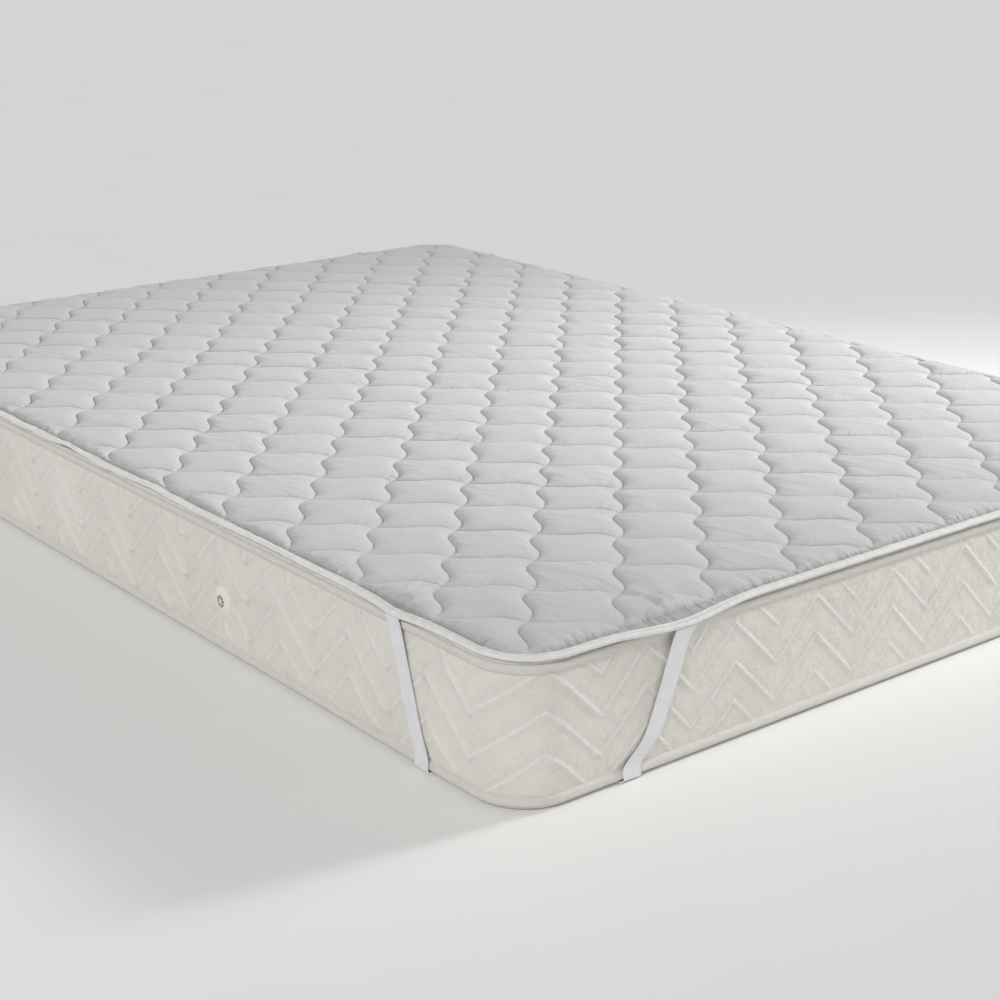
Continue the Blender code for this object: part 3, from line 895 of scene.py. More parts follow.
# %% Binding material
BINDING_WHITE = (0.87, 0.87, 0.86, 1.0)
BINDING_SHADE = (0.58, 0.58, 0.57, 1.0)
BINDING_YARN = 0.0011
THREADS_DEEP = 0.00003
BINDING_PUCKERS = 0.0016
STITCHED_AT = float(section_across[5:7].mean())

tape_cloth = Finish("white_binding_tape", Sheen_Weight=0.15, Sheen_Roughness=0.4, Specular_IOR_Level=0.3)
run, across = tape_cloth.on_map("weave")
threads = run.wave(BINDING_YARN) * across.wave(BINDING_YARN)
puckers = tape_cloth.wire.grain(tape_cloth.wire.vector(run * 130.0, across * 40.0), 1.0, 2.0)
off_stitches = across - STITCHED_AT
stitch_line_shade = off_stitches.maths("ABSOLUTE", off_stitches).fall(0.0008)
# painted shade along the stitch line, and painted light and shade that follow the puckers
binding_tint = tape_cloth.wire.blend(0.25 - puckers * 0.7 + stitch_line_shade * 0.9, BINDING_WHITE, BINDING_SHADE)
binding_relief = threads * THREADS_DEEP + puckers * BINDING_PUCKERS
white_binding = tape_cloth.link(binding_tint, 0.78, binding_relief)
binding = new_piece("white_edge_binding", bm, white_binding, ["edge_binding"])

# %% [markdown]
# Each stitch is a short plump thread that dips into the cloth at both ends. All of them are one mesh: a
# long tube is laid along the seam, and the lengths between two stitches are deleted.

# %% Binding stitches
STITCH_STEP = 0.0042
STITCH_LONG = 0.0031
STITCH_RADIUS = 0.00033
STITCH_SIDES = 5
STITCH_RINGS = ((0.0, 0.05, -0.6), (0.15, 0.85, 0.3), (0.5, 1.0, 0.7), (0.85, 0.85, 0.3), (1.0, 0.05, -0.6))
SEWN_ACROSS, SEWN_THROUGH = -0.0048, 0.0015


def stitch_rows(runs, frames):
    """Points of every ring of every stitch."""
    rings = []
    for index, frame in enumerate(frames):
        ahead = frames[(index + 1) % len(frames)].edge - frame.edge
        ahead = ahead.normalized() * STITCH_LONG
        swell = gathered(runs[index], 4.5) * 0.0005
        start = frame.at(SEWN_ACROSS + swell, SEWN_THROUGH + swell)
        for share, size, rise in STITCH_RINGS:
            middle = start + ahead * share + frame.through * rise * STITCH_RADIUS
            ring = []
            for side in range(STITCH_SIDES):
                angle = side / STITCH_SIDES * 2 * math.pi
                turned = frame.across * math.cos(angle) + frame.through * math.sin(angle)
                ring.append(middle + turned * STITCH_RADIUS * size)
            rings.append(ring)
    return np.array(rings)


stitch_runs, stitch_frames = stations_every(STITCH_STEP)
rings = stitch_rows(stitch_runs, stitch_frames)
bm = bmesh.new()
mapped_grid(
    bm,
    len(rings) - 1,
    STITCH_SIDES,
    lambda row, column: rings[row, column % STITCH_SIDES],
    gap_every=len(STITCH_RINGS),
)
bmesh.ops.remove_doubles(bm, verts=bm.verts, dist=1e-5)
thread = Finish("white_thread", Sheen_Weight=0.2, Specular_IOR_Level=0.4)
ply = thread.wire.grain(thread.object_place, 1400.0, 1.0)
thread_tint = thread.wire.blend(ply + 0.5, (0.88, 0.88, 0.87, 1.0), (0.78, 0.78, 0.77, 1.0))
white_thread = thread.link(thread_tint, 0.6, ply * 0.0001)
stitches = new_piece("binding_stitches", bm, white_thread, [])
print("binding has", len(stitch_frames), "stitches")

# %% [markdown]
# ## The elastic bands
# Each band is a flat woven elastic. It is sewn under the cloth's edge, turns over the edge of the
# mattress, runs aslant down the wall and turns under. A strip is laid through a few given rows, smoothed
# between them with a Catmull-Rom curve, then given its thickness. On the foot and head sides it is
# gathered wide where it is sewn on.

# %% Band path
BAND_WIDTH = 0.025
BAND_THICK = 0.0011
BAND_TAB = 0.0045
END_BAND_FOOT = 0.170
SIDE_BAND_FOOT = 0.166
TAPE_REACH = 0.016
PAST_TAPE = 0.0052
BAND_TURN = 0.0045
END_BOW = 0.50
SIDE_BOW = 0.85
LEAN_FROM = 0.02
EDGE_ROUND = 0.005
BAND_COLUMNS = 8
BAND_ROWS_BETWEEN = 5
BANDS = {"left_foot": (-1, -1), "right_foot": (1, -1), "right_head": (1, 1), "left_head": (-1, 1)}


def leg_sections(corner, along, outward, top_at, foot_at, flare, bow):
    """Rows of a band: centre, and how far it reaches to both sides along the wall."""
    frame = EdgeFrame(corner + along * top_at, outward)
    depth = SEAM_THICK / 2 + 0.0013 + TOUCH_GAP + BAND_THICK / 2
    tab_in = frame.at(-BAND_TAB, -depth)
    tab_out = frame.at(-BAND_THICK, -depth)
    under = TOUCH_GAP + BAND_THICK / 2
    turned = BAND_TURN * (1 - math.sqrt(0.5))
    lean = math.atan2(top_at - foot_at, HEIGHT)
    half = BAND_WIDTH / 2 / math.cos(lean)
    beneath = BAND_WIDTH / 2 * math.sqrt(2)
    out_of = lambda point: (point - corner).dot(outward)
    wide, narrow = half + flare, half
    drop = top_at - foot_at
    at_height = lambda height: foot_at + drop * (max(height - LEAN_FROM, 0) / (HEIGHT - LEAN_FROM)) ** bow
    top_out, top_z = out_of(tab_out), tab_out.z
    upper_out = top_out * 0.8 + PAST_TAPE * 0.2
    middle_out = top_out * 0.4 + PAST_TAPE * 0.6
    rows = [
        (out_of(tab_in), tab_in.z, top_at, half, wide),
        (top_out - 0.001, top_z, top_at, half, wide),
        (top_out + 0.0012, top_z - 0.0016, top_at, half, wide * 0.97),
        (top_out + 0.0006, top_z - 0.006, top_at - drop * 0.03, narrow, half + flare * 0.55),
        (upper_out, top_z - 0.020, at_height(top_z - 0.016), narrow, half + flare * 0.15),
        (middle_out, 0.100, at_height(0.098), narrow, half),
        (PAST_TAPE, 0.050, at_height(0.050), narrow, half),
        (PAST_TAPE, TAPE_REACH + BAND_TURN, foot_at, narrow, half),
        (PAST_TAPE, under + BAND_TURN, foot_at, narrow, half),
        (PAST_TAPE - turned, under + turned, foot_at, narrow, half),
        (PAST_TAPE - BAND_TURN, under, foot_at, beneath, beneath),
        (-EDGE_ROUND, under, foot_at - EDGE_ROUND, beneath, beneath),
    ]
    sections = []
    for out, height, at, near, far in rows:
        centre = corner + outward * out + Vector((0, 0, height)) + along * at
        sections.append(np.array([*(centre - along * near), *(centre + along * far)]))
    return sections


def smoothed(sections):
    """Catmull-Rom rows through the given rows."""
    padded = [sections[0], *sections, sections[-1]]
    rows = []
    for before, start, end, after in zip(padded, padded[1:], padded[2:], padded[3:]):
        for step in range(BAND_ROWS_BETWEEN):
            t = step / BAND_ROWS_BETWEEN
            curve = 2 * start + (end - before) * t
            curve = curve + (2 * before - 5 * start + 4 * end - after) * t**2
            curve = curve + (3 * start - before - 3 * end + after) * t**3
            rows.append(curve / 2)
    return [*rows, sections[-1]]


def band_rows(side_x, side_y):
    corner = Vector((side_x * WIDTH / 2, side_y * LENGTH / 2, 0.0))
    inward_x, inward_y = Vector((-side_x, 0.0, 0.0)), Vector((0.0, -side_y, 0.0))
    end_leg = leg_sections(corner, inward_x, -inward_y, END_EDGE["pull_at"], END_BAND_FOOT, 0.006, END_BOW)
    side_leg = leg_sections(corner, inward_y, -inward_x, SIDE_EDGE["pull_at"], SIDE_BAND_FOOT, 0.0, SIDE_BOW)
    rows = np.array([*smoothed(end_leg), *smoothed(side_leg)[::-1]])
    lowest = TOUCH_GAP + BAND_THICK / 2
    rows[:, 2::3] = np.maximum(rows[:, 2::3], lowest)
    return rows


band_lean = math.degrees(math.atan2(END_EDGE["pull_at"] - END_BAND_FOOT, HEIGHT))
print("a band leans by", round(band_lean, 1), "degrees")

# %% [markdown]
# Fine ribs run along the elastic, because its rubber threads lie lengthwise between the weft. The finish
# reads the strip's own map in metres, so the ribs follow every turn of the band.

# %% Elastic material
ELASTIC_WHITE = (0.89, 0.89, 0.905, 1.0)
ELASTIC_SHADE = (0.73, 0.73, 0.755, 1.0)
RIB = 0.00155
WEFT = 0.0009
SELVEDGE = 0.0016
RIB_DEEP = 0.00014
WEFT_DEEP = 0.00004
WORN_DEEP = 0.0006

elastic = Finish("white_woven_elastic", Sheen_Weight=0.1, Specular_IOR_Level=0.3)
along, across = elastic.on_map("weave")
ribs = across.wave(RIB)
weft = along.wave(WEFT) * across.wave(RIB * 2)
worn = elastic.wire.grain(elastic.object_place, 60.0)
off_middle = across - BAND_WIDTH / 2
edge_line = off_middle.maths("ABSOLUTE", off_middle).above(BAND_WIDTH / 2 - SELVEDGE)
# random mottle, painted shade in the hollows between the ribs, and a darker line along each edge
mottle_and_rib_shade = 0.3 - ribs * 0.3 + worn * 0.7 + edge_line * 0.3
elastic_tint = elastic.wire.blend(mottle_and_rib_shade, ELASTIC_WHITE, ELASTIC_SHADE)
woven_elastic = elastic.link(elastic_tint, 0.7, ribs * RIB_DEEP + weft * WEFT_DEEP + worn * WORN_DEEP)

# %% Band objects
def corner_band(name, side_x, side_y):
    ends = band_rows(side_x, side_y)
    near, far = ends[:, :3], ends[:, 3:]
    middle = (near + far) / 2
    runs = np.concatenate([[0.0], np.linalg.norm(np.diff(middle, axis=0), axis=1).cumsum()])

    def place(row, column):
        share = (column / BAND_COLUMNS)[:, None]
        return near[row] * (1 - share) + far[row] * share

    bm = bmesh.new()
    layout = lambda row, column: np.stack([runs[row], column / BAND_COLUMNS * BAND_WIDTH], axis=1)
    mapped_grid(bm, len(ends) - 1, BAND_COLUMNS, place, layout)
    bmesh.ops.recalc_face_normals(bm, faces=bm.faces)
    bm.normal_update()
    shifts = [vert.normal * BAND_THICK / 2 for vert in bm.verts]
    for vert, shift in zip(bm.verts, shifts):
        vert.co += shift
    bmesh.ops.solidify(bm, geom=bm.faces[:], thickness=BAND_THICK)
    band = new_piece(f"elastic_band_{name}", bm, woven_elastic, [f"corner_band_{name}"], 50)
    shape = np.array([vert.co for vert in band.data.vertices])
    print(f"band {name} is {runs[-1]:.3f} m long, lowest point {shape[:, 2].min() * 1000:.2f} mm")
    return band, runs[-1]


bands = {name: corner_band(name, *place) for name, place in BANDS.items()}

# %% [markdown]
# ## The mattress border
# The border is a ticking quilted with nested zigzag welts. It is built as the cloth was: a flat grid
# whose rows follow the zigzags, close together at each welt, is cut straight above and below, then
# wrapped round the wall. The welts and the fullness between them are real relief. On the left side the
# falling arm of each zigzag is raised much more than the rising one, because only that arm stands out in
# the view.

# %% Border
TURNS_AT = (
    (0.0, -0.857),
    (STRAIGHTS[0], 8.067),
    (STRAIGHTS[0] + ARC, 8.82),
    (sum(STRAIGHTS[:2]) + ARC, 21.32),
    (sum(STRAIGHTS[:2]) + 2 * ARC, 22.10),
    (sum(STRAIGHTS[:3]) + 2 * ARC, 31.02),
    (sum(STRAIGHTS[:3]) + 3 * ARC, 31.60),
    (PERIMETER - ARC, 43.526),
    (PERIMETER, 44.143),
)
TURNS = 45
SIDE_START = PERIMETER - ARC + CORNER_RADIUS
LIFT_AT = (
    (0.0, 0.117),
    (0.121, 0.114),
    (0.262, 0.104),
    (STRAIGHTS[0], 0.106),
    (PERIMETER - ARC - STRAIGHTS[3], 0.108),
    (SIDE_START - 1.212, 0.112),
    (SIDE_START - 1.064, 0.097),
    (SIDE_START - 0.950, 0.096),
    (SIDE_START - 0.616, 0.116),
    (SIDE_START - 0.304, 0.133),
    (PERIMETER - ARC, 0.130),
    (PERIMETER, 0.117),
)
SCALE_AT = (
    (0.0, 1.0),
    (STRAIGHTS[0], 1.0),
    (STRAIGHTS[0] + ARC, 1.1),
    (PERIMETER - ARC - STRAIGHTS[3], 1.1),
    (PERIMETER - ARC, 1.1),
    (PERIMETER, 1.0),
)
ON_SIDE = (
    (0.0, 0.3),
    (0.10, 0.0),
    (PERIMETER - 2 * ARC - STRAIGHTS[3], 0.0),
    (PERIMETER - ARC - STRAIGHTS[3], 1.0),
    (PERIMETER - ARC, 1.0),
    (PERIMETER, 0.3),
)
WELT_SPACING = 0.050
ZIGZAG_HIGH = 0.070
WELT_MARKS = np.array((0.0, 0.035, 0.075, 0.130, 0.230, 0.5, 0.770, 0.870, 0.925, 0.965))
FIRST_WELT, WELTS = -3, 8
STEPS_A_TURN = 16
BORDER_LOW, BORDER_HIGH = 0.0165, HEIGHT - 0.0165
WELT_RISE = 0.0048
WELT_HALF = 0.0040
FULLNESS = 0.0011
BELLY = 0.0030
JOIN_AT = SIDE_START - 1.012
VENT_FROM_FOOT, VENT_HEIGHT = 0.615, 0.073
VENT_CLEAR = 0.034
BAND_PRESS = 0.0038
CORNER_CALM = 0.55
WELT_UNEVEN = 0.6
WELT_STRONG, SIDE_RISING, SIDE_FALLING = 0.42, -0.16, 1.10
WELT_NARROW, SIDE_WIDER = 0.7, 0.6
CORNER_REACH = 0.08
BELLY_ROUND = 0.6
JOIN_DEEP, JOIN_HALF = 0.0014, 0.0028
BAND_EASE = 0.3
BORDER_FADE = 0.010
VENT_RADIUS = 0.021


def along_wall(table, run):
    runs, values = np.array(table).T
    return np.interp(run, runs, values)


def zigzag(turn):
    """0 at the peaks, which are whole turns, and -1 midway between them."""
    return -2 * np.abs(turn - np.rint(turn))


def under_bands(run, height):
    """Distance along the wall from the nearest band at this height, and from the nearest corner's middle."""
    share = np.clip((height - LEAN_FROM) / (HEIGHT - LEAN_FROM), 0, 1)
    legs = ((END_EDGE, END_BAND_FOOT, END_BOW), (SIDE_EDGE, SIDE_BAND_FOOT, SIDE_BOW))
    start, band_off, corner_off = 0.0, np.ones(len(run)), np.ones(len(run))
    for quarter, straight in enumerate(STRAIGHTS):
        edge, foot_at, bow = legs[quarter % 2]
        at = foot_at + (edge["pull_at"] - foot_at) * share**bow - CORNER_RADIUS
        for leg in (start + at, start + straight - at):
            band_off = np.minimum(band_off, np.abs(run - leg))
        for corner in (start - ARC / 2, start + straight + ARC / 2):
            corner_off = np.minimum(corner_off, np.abs(run - corner))
        start += straight + ARC
    return band_off, corner_off


def border_relief(run, height, turn, welt):
    """How far the ticking stands out from the wall."""
    off = (welt - np.rint(welt)) * WELT_SPACING
    rising = np.where((turn - np.floor(turn)) > 0.5, 1.0, 0.0)
    side = along_wall(ON_SIDE, run)
    arm = np.mod(np.floor(turn * 2), TURNS * 2)
    strong = WELT_STRONG + side * np.where(rising > 0.5, SIDE_RISING, SIDE_FALLING)
    half = WELT_HALF * (WELT_NARROW + side * np.where(rising > 0.5, 0.0, SIDE_WIDER))
    band_off, corner_off = under_bands(run, height)
    strong = strong * (1 - CORNER_CALM * np.exp(-((corner_off / CORNER_REACH) ** 2)))
    strong = strong * (1 + WELT_UNEVEN * uneven(np.stack([arm, np.rint(welt)], axis=1), 5.9))
    ridge = np.exp(-((off / half) ** 2)) * WELT_RISE * strong
    full = FULLNESS * (1 - (2 * np.abs(off) / WELT_SPACING - 1) ** 2)
    span = (height - BORDER_LOW) / (BORDER_HIGH - BORDER_LOW)
    belly = BELLY * np.clip(4 * span * (1 - span), 0, 1) ** BELLY_ROUND
    join = -JOIN_DEEP * np.exp(-(((run - JOIN_AT) / JOIN_HALF) ** 2))
    relief = ridge + full + belly + join
    relief = np.minimum(relief, BAND_PRESS + BAND_EASE * np.maximum(band_off - BAND_WIDTH * 0.55, 0))
    edge = np.clip(np.minimum(height - BORDER_LOW, BORDER_HIGH - height) / BORDER_FADE, 0, 1)
    vent = np.hypot(run - (SIDE_START - VENT_FROM_FOOT), height - VENT_HEIGHT)
    clear = np.clip((vent - VENT_RADIUS) / (VENT_CLEAR - VENT_RADIUS), 0, 1)
    return relief * edge * clear


def border_sheet(bm):
    """The border as a flat sheet in (distance along the wall, height), with its relief kept in z."""
    turns = np.linspace(TURNS_AT[0][1], TURNS_AT[0][1] + TURNS, TURNS * STEPS_A_TURN + 1)
    corners = np.arange(math.ceil(turns[0] * 2), turns[-1] * 2) / 2
    turns = np.unique(np.concatenate([turns, corners]).round(6))
    run_table, turn_table = np.array(TURNS_AT).T
    run_of = np.interp(turns, turn_table, run_table)
    marks = len(WELT_MARKS)

    def place(row, column):
        run, turn = run_of[row], turns[row]
        welt = FIRST_WELT + column // marks + WELT_MARKS[column % marks]
        scale = along_wall(SCALE_AT, run)
        height = along_wall(LIFT_AT, run) + scale * (welt * WELT_SPACING + zigzag(turn) * ZIGZAG_HIGH)
        return np.stack([run, height, border_relief(run, height, turn, welt)], axis=1)

    def layout(row, column):
        welt = FIRST_WELT + column // marks + WELT_MARKS[column % marks]
        return np.stack([run_of[row], welt], axis=1)

    mapped_grid(bm, len(turns) - 1, WELTS * marks, place, layout)
    for height, outward in ((BORDER_LOW, -1), (BORDER_HIGH, 1)):
        cut_plane(bm, Vector((0, height, 0)), Vector((0, outward, 0)), bm.faces)


def on_wall(run, out, height):
    wall, outward = wall_at(run)
    return wall + outward * out + Vector((0, 0, height))


bm = bmesh.new()
border_sheet(bm)
for vert in bm.verts:
    run, height, out = vert.co
    vert.co = on_wall(run, out, height)
bmesh.ops.remove_doubles(bm, verts=[v for v in bm.verts if v.is_boundary], dist=1e-5)
print("border has", len(bm.faces), "faces before its rims")

# %% [markdown]
# The rims are extruded from the border's two open edges, round the mattress edge and inwards, and each is
# closed with a flat face. Beneath, a shallow trough is pressed in along each band, as the weight does. A
# boolean with a lens-shaped cutter makes it, and is applied at once.

# %% Top, bottom and troughs
TROUGH_DEEP = 0.0024
TROUGH_HALF_WIDE = 0.024
TROUGH_SIDES = 40
TROUGH_PAST = 0.05
TROUGH_LENS = 0.7
RIM_ROUND = 4
RIM_START = 0.012
RIM_INWARD = 0.030


def mattress_rim(upper):
    """Ring places from the border's edge, over the rounded edge, onto the top or the bottom."""
    turn_z = (lambda height: HEIGHT - height) if upper else (lambda height: height)
    rings = [(0.0, RIM_START), (0.0, EDGE_ROUND)]
    for step in range(1, RIM_ROUND + 1):
        angle = step / RIM_ROUND * math.pi / 2
        rings.append((-EDGE_ROUND * (1 - math.cos(angle)), EDGE_ROUND * (1 - math.sin(angle))))
    rings.append((-RIM_INWARD, 0.0))
    made = []
    for out, height in rings:
        def place(origin, out=out, height=height):
            wall, outward = nearest_wall(origin)
            return wall + outward * out + Vector((0, 0, turn_z(height)))
        made.append(place)
    return made


for upper in (True, False):
    side = [e for e in bm.edges if e.is_boundary and (e.verts[0].co.z > HEIGHT / 2) == upper]
    bmesh.ops.contextual_create(bm, geom=extrude_rings(bm, side, mattress_rim(upper)))
print("with its rims the mattress has", len(bm.faces), "faces")


def about_z(x, y, z, angle):
    """A point turned about the z axis."""
    cos, sin = math.cos(angle), math.sin(angle)
    return Vector((x * cos - y * sin, x * sin + y * cos, z))


def trough_cutter(side_x, side_y):
    """A long lens under one corner, along the band's diagonal."""
    start = Vector((side_x * (WIDTH / 2 - END_BAND_FOOT), side_y * LENGTH / 2, 0.0))
    end = Vector((side_x * WIDTH / 2, side_y * (LENGTH / 2 - SIDE_BAND_FOOT), 0.0))
    run = end - start
    cutter = bmesh.new()
    long = run.length + TROUGH_PAST
    bmesh.ops.create_cone(cutter, cap_ends=True, segments=TROUGH_SIDES, radius1=1, radius2=1, depth=long)
    for vert in cutter.verts:
        x, y, z = vert.co
        flat = math.copysign(abs(y) ** TROUGH_LENS, y)
        vert.co = Vector((z, x * TROUGH_HALF_WIDE, flat * TROUGH_DEEP))
    bmesh.ops.recalc_face_normals(cutter, faces=cutter.faces)
    turn = math.atan2(run.y, run.x)
    for vert in cutter.verts:
        vert.co = about_z(*vert.co, turn) + (start + end) / 2
    mesh = bpy.data.meshes.new("trough_cutter")
    cutter.to_mesh(mesh)
    cutter.free()
    return bpy.data.objects.new("trough_cutter", mesh)


# %% [markdown]
# The ticking is a silky woven cloth in warm ivory. Fine threads run level and a slub breaks them up. Each
# welt has a painted highlight along its crest and painted shade a few millimetres to either side.

# %% Ticking material
TICKING_IVORY = (0.790, 0.770, 0.724, 1.0)
TICKING_SHADE = (0.680, 0.660, 0.610, 1.0)
TICKING_PAINTED_HIGHLIGHT = (0.88, 0.87, 0.84, 1.0)
SLUB_DEEP = 0.00012
UPRIGHT_DEEP = 0.00008
CRINKLE_DEEP = 0.0048
TICKING_GATHERS = 0.0016

ticking = Finish("ivory_ticking", Sheen_Weight=0.35, Sheen_Roughness=0.35, Specular_IOR_Level=0.45)
wire = ticking.wire
run, welt = ticking.on_map("weave")
x, y, z = ticking.object_place.parts()
level = wire.vector(x * 260.0, y * 260.0, z * 1100.0)
slub = wire.grain(level, 1.0, 3.0, 0.6)
upright = wire.grain(wire.vector(x * 900.0, y * 900.0, z * 120.0), 1.0, 2.0)
soft = wire.grain(ticking.object_place, 9.0, 3.0)
crinkle = wire.grain(ticking.object_place, 42.0, 4.0, 0.62)
off_welt = welt.to_whole() * WELT_SPACING
gathers = wire.grain(wire.vector(run * 190.0, welt * 2.0), 1.0, 2.0) * off_welt.fall(0.006)
flecks = wire.grain(ticking.object_place, 210.0, 3.0, 0.6)
# painted shade beside each welt; further down, a painted highlight along its crest
welt_side_shade = off_welt.fall(0.0090) - off_welt.fall(0.0030)
mottled = slub * 0.5 + soft * 1.3 + upright * 0.3 + flecks * 1.1
tint = wire.blend(0.30 + mottled + welt_side_shade * 0.9, TICKING_IVORY, TICKING_SHADE)
tint = wire.blend(off_welt.fall(0.0018) * 0.5, tint, TICKING_PAINTED_HIGHLIGHT)
relief = slub * SLUB_DEEP + upright * UPRIGHT_DEEP + crinkle * CRINKLE_DEEP + gathers * TICKING_GATHERS
ivory_ticking = ticking.link(tint, 0.52 + slub * 0.15, relief)

# %% Mattress object
mattress = new_piece("zigzag_quilted_mattress", bm, ivory_ticking, ["mattress"], 60)
cutters = [trough_cutter(*place) for place in BANDS.values()]
for cutter in cutters:
    bpy.context.scene.collection.objects.link(cutter)
    trough = mattress.modifiers.new("trough", "BOOLEAN")
    trough.operation, trough.solver, trough.object = "DIFFERENCE", "EXACT", cutter
view_layer = bpy.context.evaluated_depsgraph_get()
plain_mesh = mattress.data
mattress.data = bpy.data.meshes.new_from_object(mattress.evaluated_get(view_layer))
mattress.modifiers.clear()
for cutter in cutters:
    bpy.data.objects.remove(cutter, do_unlink=True)
bpy.data.meshes.remove(plain_mesh)
mattress.data.calc_loop_triangles()
print("mattress now has", len(mattress.data.loop_triangles), "triangles")

# %% [markdown]
# ## The edge tapes
# A ribbed tape covers the seam between border and top, and another the lower one. Each is a strip with a
# bulged outer side. Its slanting ribs are close and shallow, so they are left to the material, on the
# strip's own map.

# %% Tapes
TAPE_SECTION = (
    (0.0002, 0.0050),
    (0.0018, 0.0049),
    (0.0031, 0.0058),
    (0.0038, 0.0074),
    (0.0041, 0.0092),
    (0.0041, 0.0112),
    (0.0038, 0.0130),
    (0.0030, 0.0150),
    (0.0017, 0.0164),
    (0.0002, 0.0168),
)
TAPE_STEP = 0.008
TAPE_IVORY = (0.76, 0.745, 0.695, 1.0)
TAPE_SHADE = (0.64, 0.62, 0.57, 1.0)
CORD = 0.0030
CORD_SLANT = 0.9
CORD_DEEP = 0.0004
TAPE_PATCHY = 0.0009

tape_weave = Finish("ribbed_tape", Sheen_Weight=0.2, Specular_IOR_Level=0.3)
wire = tape_weave.wire
run, across = tape_weave.on_map("weave")
slant = run + across * CORD_SLANT
cords = slant.wave(CORD) * 0.5 + 0.5
patchy = wire.grain(wire.vector(run * 60.0, across * 200.0), 1.0, 2.0)
# painted shade in the hollows between the cords; the patches are random tone
tint = wire.blend(0.6 - cords * 0.5 + patchy * 0.9, TAPE_IVORY, TAPE_SHADE)
ribbed_tape = tape_weave.link(tint, 0.7, cords * CORD_DEEP + patchy * TAPE_PATCHY)


def edge_tape(name, upper, node):
    runs = np.linspace(0.0, PERIMETER, round(PERIMETER / TAPE_STEP) + 1)
    steps = np.linalg.norm(np.diff(np.array(TAPE_SECTION + TAPE_SECTION[:1]), axis=0), axis=1)
    across = np.concatenate([[0.0], steps.cumsum()])
    sections = []
    for run in runs[:-1]:
        swell = 1 + 0.10 * noise.noise(Vector((run * 30, 7.0 * upper, 0)))
        level = lambda height: HEIGHT - height if upper else height
        sections.append([on_wall(run, out * swell, level(height)) for out, height in TAPE_SECTION])
    bm = bmesh.new()
    swept_loop(bm, sections, runs, across)
    return new_piece(name, bm, ribbed_tape, [node], 60)


upper_tape = edge_tape("ribbed_tape_top", True, "mattress_tape_top")
lower_tape = edge_tape("ribbed_tape_bottom", False, "mattress_tape_bottom")

# %% [markdown]
# ## The air vent
# A moulded vent lets the mattress breathe. It is turned from one profile with a spin: a domed flange with
# fine radial ribs, a rolled lip and a cup. A few spokes cross the cup above its floor, whose colour is
# painted shade.

# %% Vent
VENT_PROFILE = (
    (0.0208, 0.0004),
    (0.0209, 0.0011),
    (0.0200, 0.0018),
    (0.0170, 0.0027),
    (0.0128, 0.0036),
    (0.0105, 0.0042),
    (0.0096, 0.0045),
    (0.0088, 0.0043),
    (0.0084, 0.0034),
    (0.0082, 0.0012),
)
VENT_SIDES = 96
VENT_RIB = 0.00022
RIBS_FROM, RIBS_TO = 0.0110, 0.0190
RIM_FROM = 0.015
SPOKES = 8
SPOKE_LONG, SPOKE_WIDE, SPOKE_THICK = 0.0170, 0.0009, 0.0010
SPOKE_HEIGHT = 0.0037
HUB_FOOT, HUB_TOP, HUB_THICK = 0.0034, 0.0026, 0.0030
HUB_HEIGHT = 0.0028


def vent_shell(bm):
    chain = [bm.verts.new((radius, 0.0, height)) for radius, height in VENT_PROFILE]
    edges = [bm.edges.new(pair) for pair in zip(chain, chain[1:])]
    bmesh.ops.spin(
        bm,
        geom=[*chain, *edges],
        cent=(0, 0, 0),
        axis=(0, 0, 1),
        angle=2 * math.pi,
        steps=VENT_SIDES,
        use_merge=True,
    )
    for vert in bm.verts:
        radius = vert.co.xy.length
        if RIBS_FROM < radius < RIBS_TO:
            angle = math.atan2(vert.co.y, vert.co.x)
            vert.co.z += VENT_RIB * math.cos(angle * VENT_SIDES / 2)
    for outer in (True, False):
        ring = [
            edge
            for edge in bm.edges
            if edge.is_boundary and (edge.verts[0].co.xy.length > RIM_FROM) == outer
        ]
        bmesh.ops.contextual_create(bm, geom=ring)


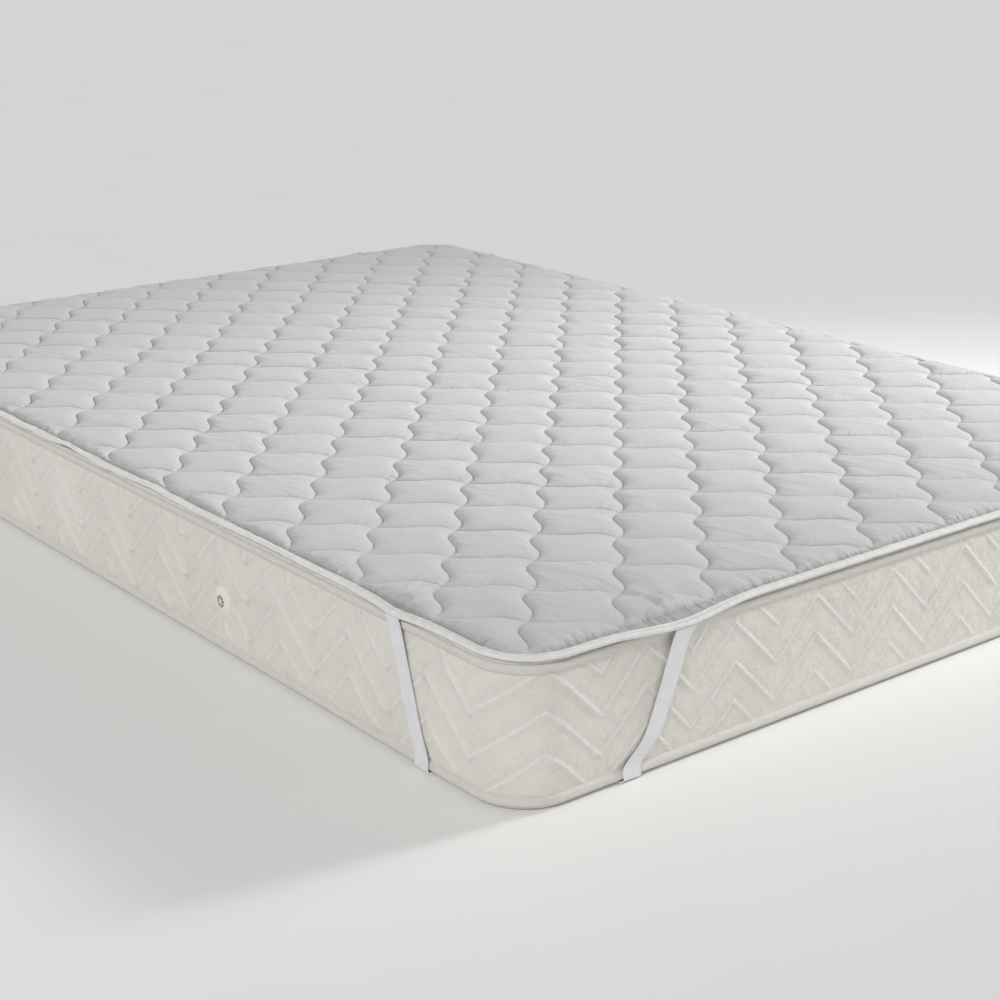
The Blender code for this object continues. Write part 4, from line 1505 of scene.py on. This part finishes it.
def vent_spokes(bm):
    for spoke in range(SPOKES // 2):
        angle = (spoke + 0.25) / SPOKES * 2 * math.pi
        made = bmesh.ops.create_cube(bm, size=1.0)["verts"]
        for vert in made:
            x, y, z = vert.co
            vert.co = about_z(x * SPOKE_LONG, y * SPOKE_WIDE, SPOKE_HEIGHT + z * SPOKE_THICK, angle)
    bmesh.ops.create_cone(
        bm,
        cap_ends=True,
        segments=24,
        radius1=HUB_FOOT,
        radius2=HUB_TOP,
        depth=HUB_THICK,
        matrix=Matrix.Translation((0, 0, HUB_HEIGHT)),
    )


bm = bmesh.new()
vent_shell(bm)
vent_spokes(bm)
vent_place = Vector((-WIDTH / 2, VENT_FROM_FOOT - LENGTH / 2, VENT_HEIGHT))
for vert in bm.verts:
    x, y, z = vert.co
    vert.co = vent_place + Vector((-z, x, y))

# %% Vent material
VENT_CREAM = (0.88, 0.87, 0.78, 1.0)
VENT_SHADE = (0.79, 0.77, 0.67, 1.0)
CUP_PAINTED_SHADE = (0.030, 0.027, 0.020, 1.0)
CUP_BELOW = 0.0030
CUP_RADIUS = 0.0083

plastic = Finish("cream_plastic", Specular_IOR_Level=0.5, Coat_Weight=0.1)
wire = plastic.wire
x, y, z = plastic.object_place.parts()
deep = 1.0 - (x * -1.0 - (WIDTH / 2 + CUP_BELOW)).above(0.0)
from_axis = wire.vector(y - vent_place.y, z - vent_place.z)
radius = from_axis.node("VectorMath", {"operation": "LENGTH"}, {0: from_axis}, "Value")
# the cup's floor is painted near-black as painted shade inside the vent
cup_shade_mask = deep * (1.0 - radius.above(CUP_RADIUS))
cloudy = wire.grain(plastic.object_place, 160.0)
tint = wire.blend(cloudy + 0.4, VENT_CREAM, VENT_SHADE)
tint = wire.blend(cup_shade_mask, tint, CUP_PAINTED_SHADE)
cream_plastic = plastic.link(tint, 0.42 + cloudy * 0.1, cloudy * 0.00006)
vent = new_piece("cream_air_vent", bm, cream_plastic, ["air_vent"], 40)

# %% [markdown]
# ## What the cloth pieces are
# The panel was cut flat a little larger than the mattress. The bands and tapes were cut as straight
# strips, and a band is stretched by about a fifth when it is fitted. Here each band's cut length is only
# worked out from that stretch.

# %% Cut lengths of the bands
BAND_STRETCH = 1.2

for band, long in bands.values():
    long / BAND_STRETCH
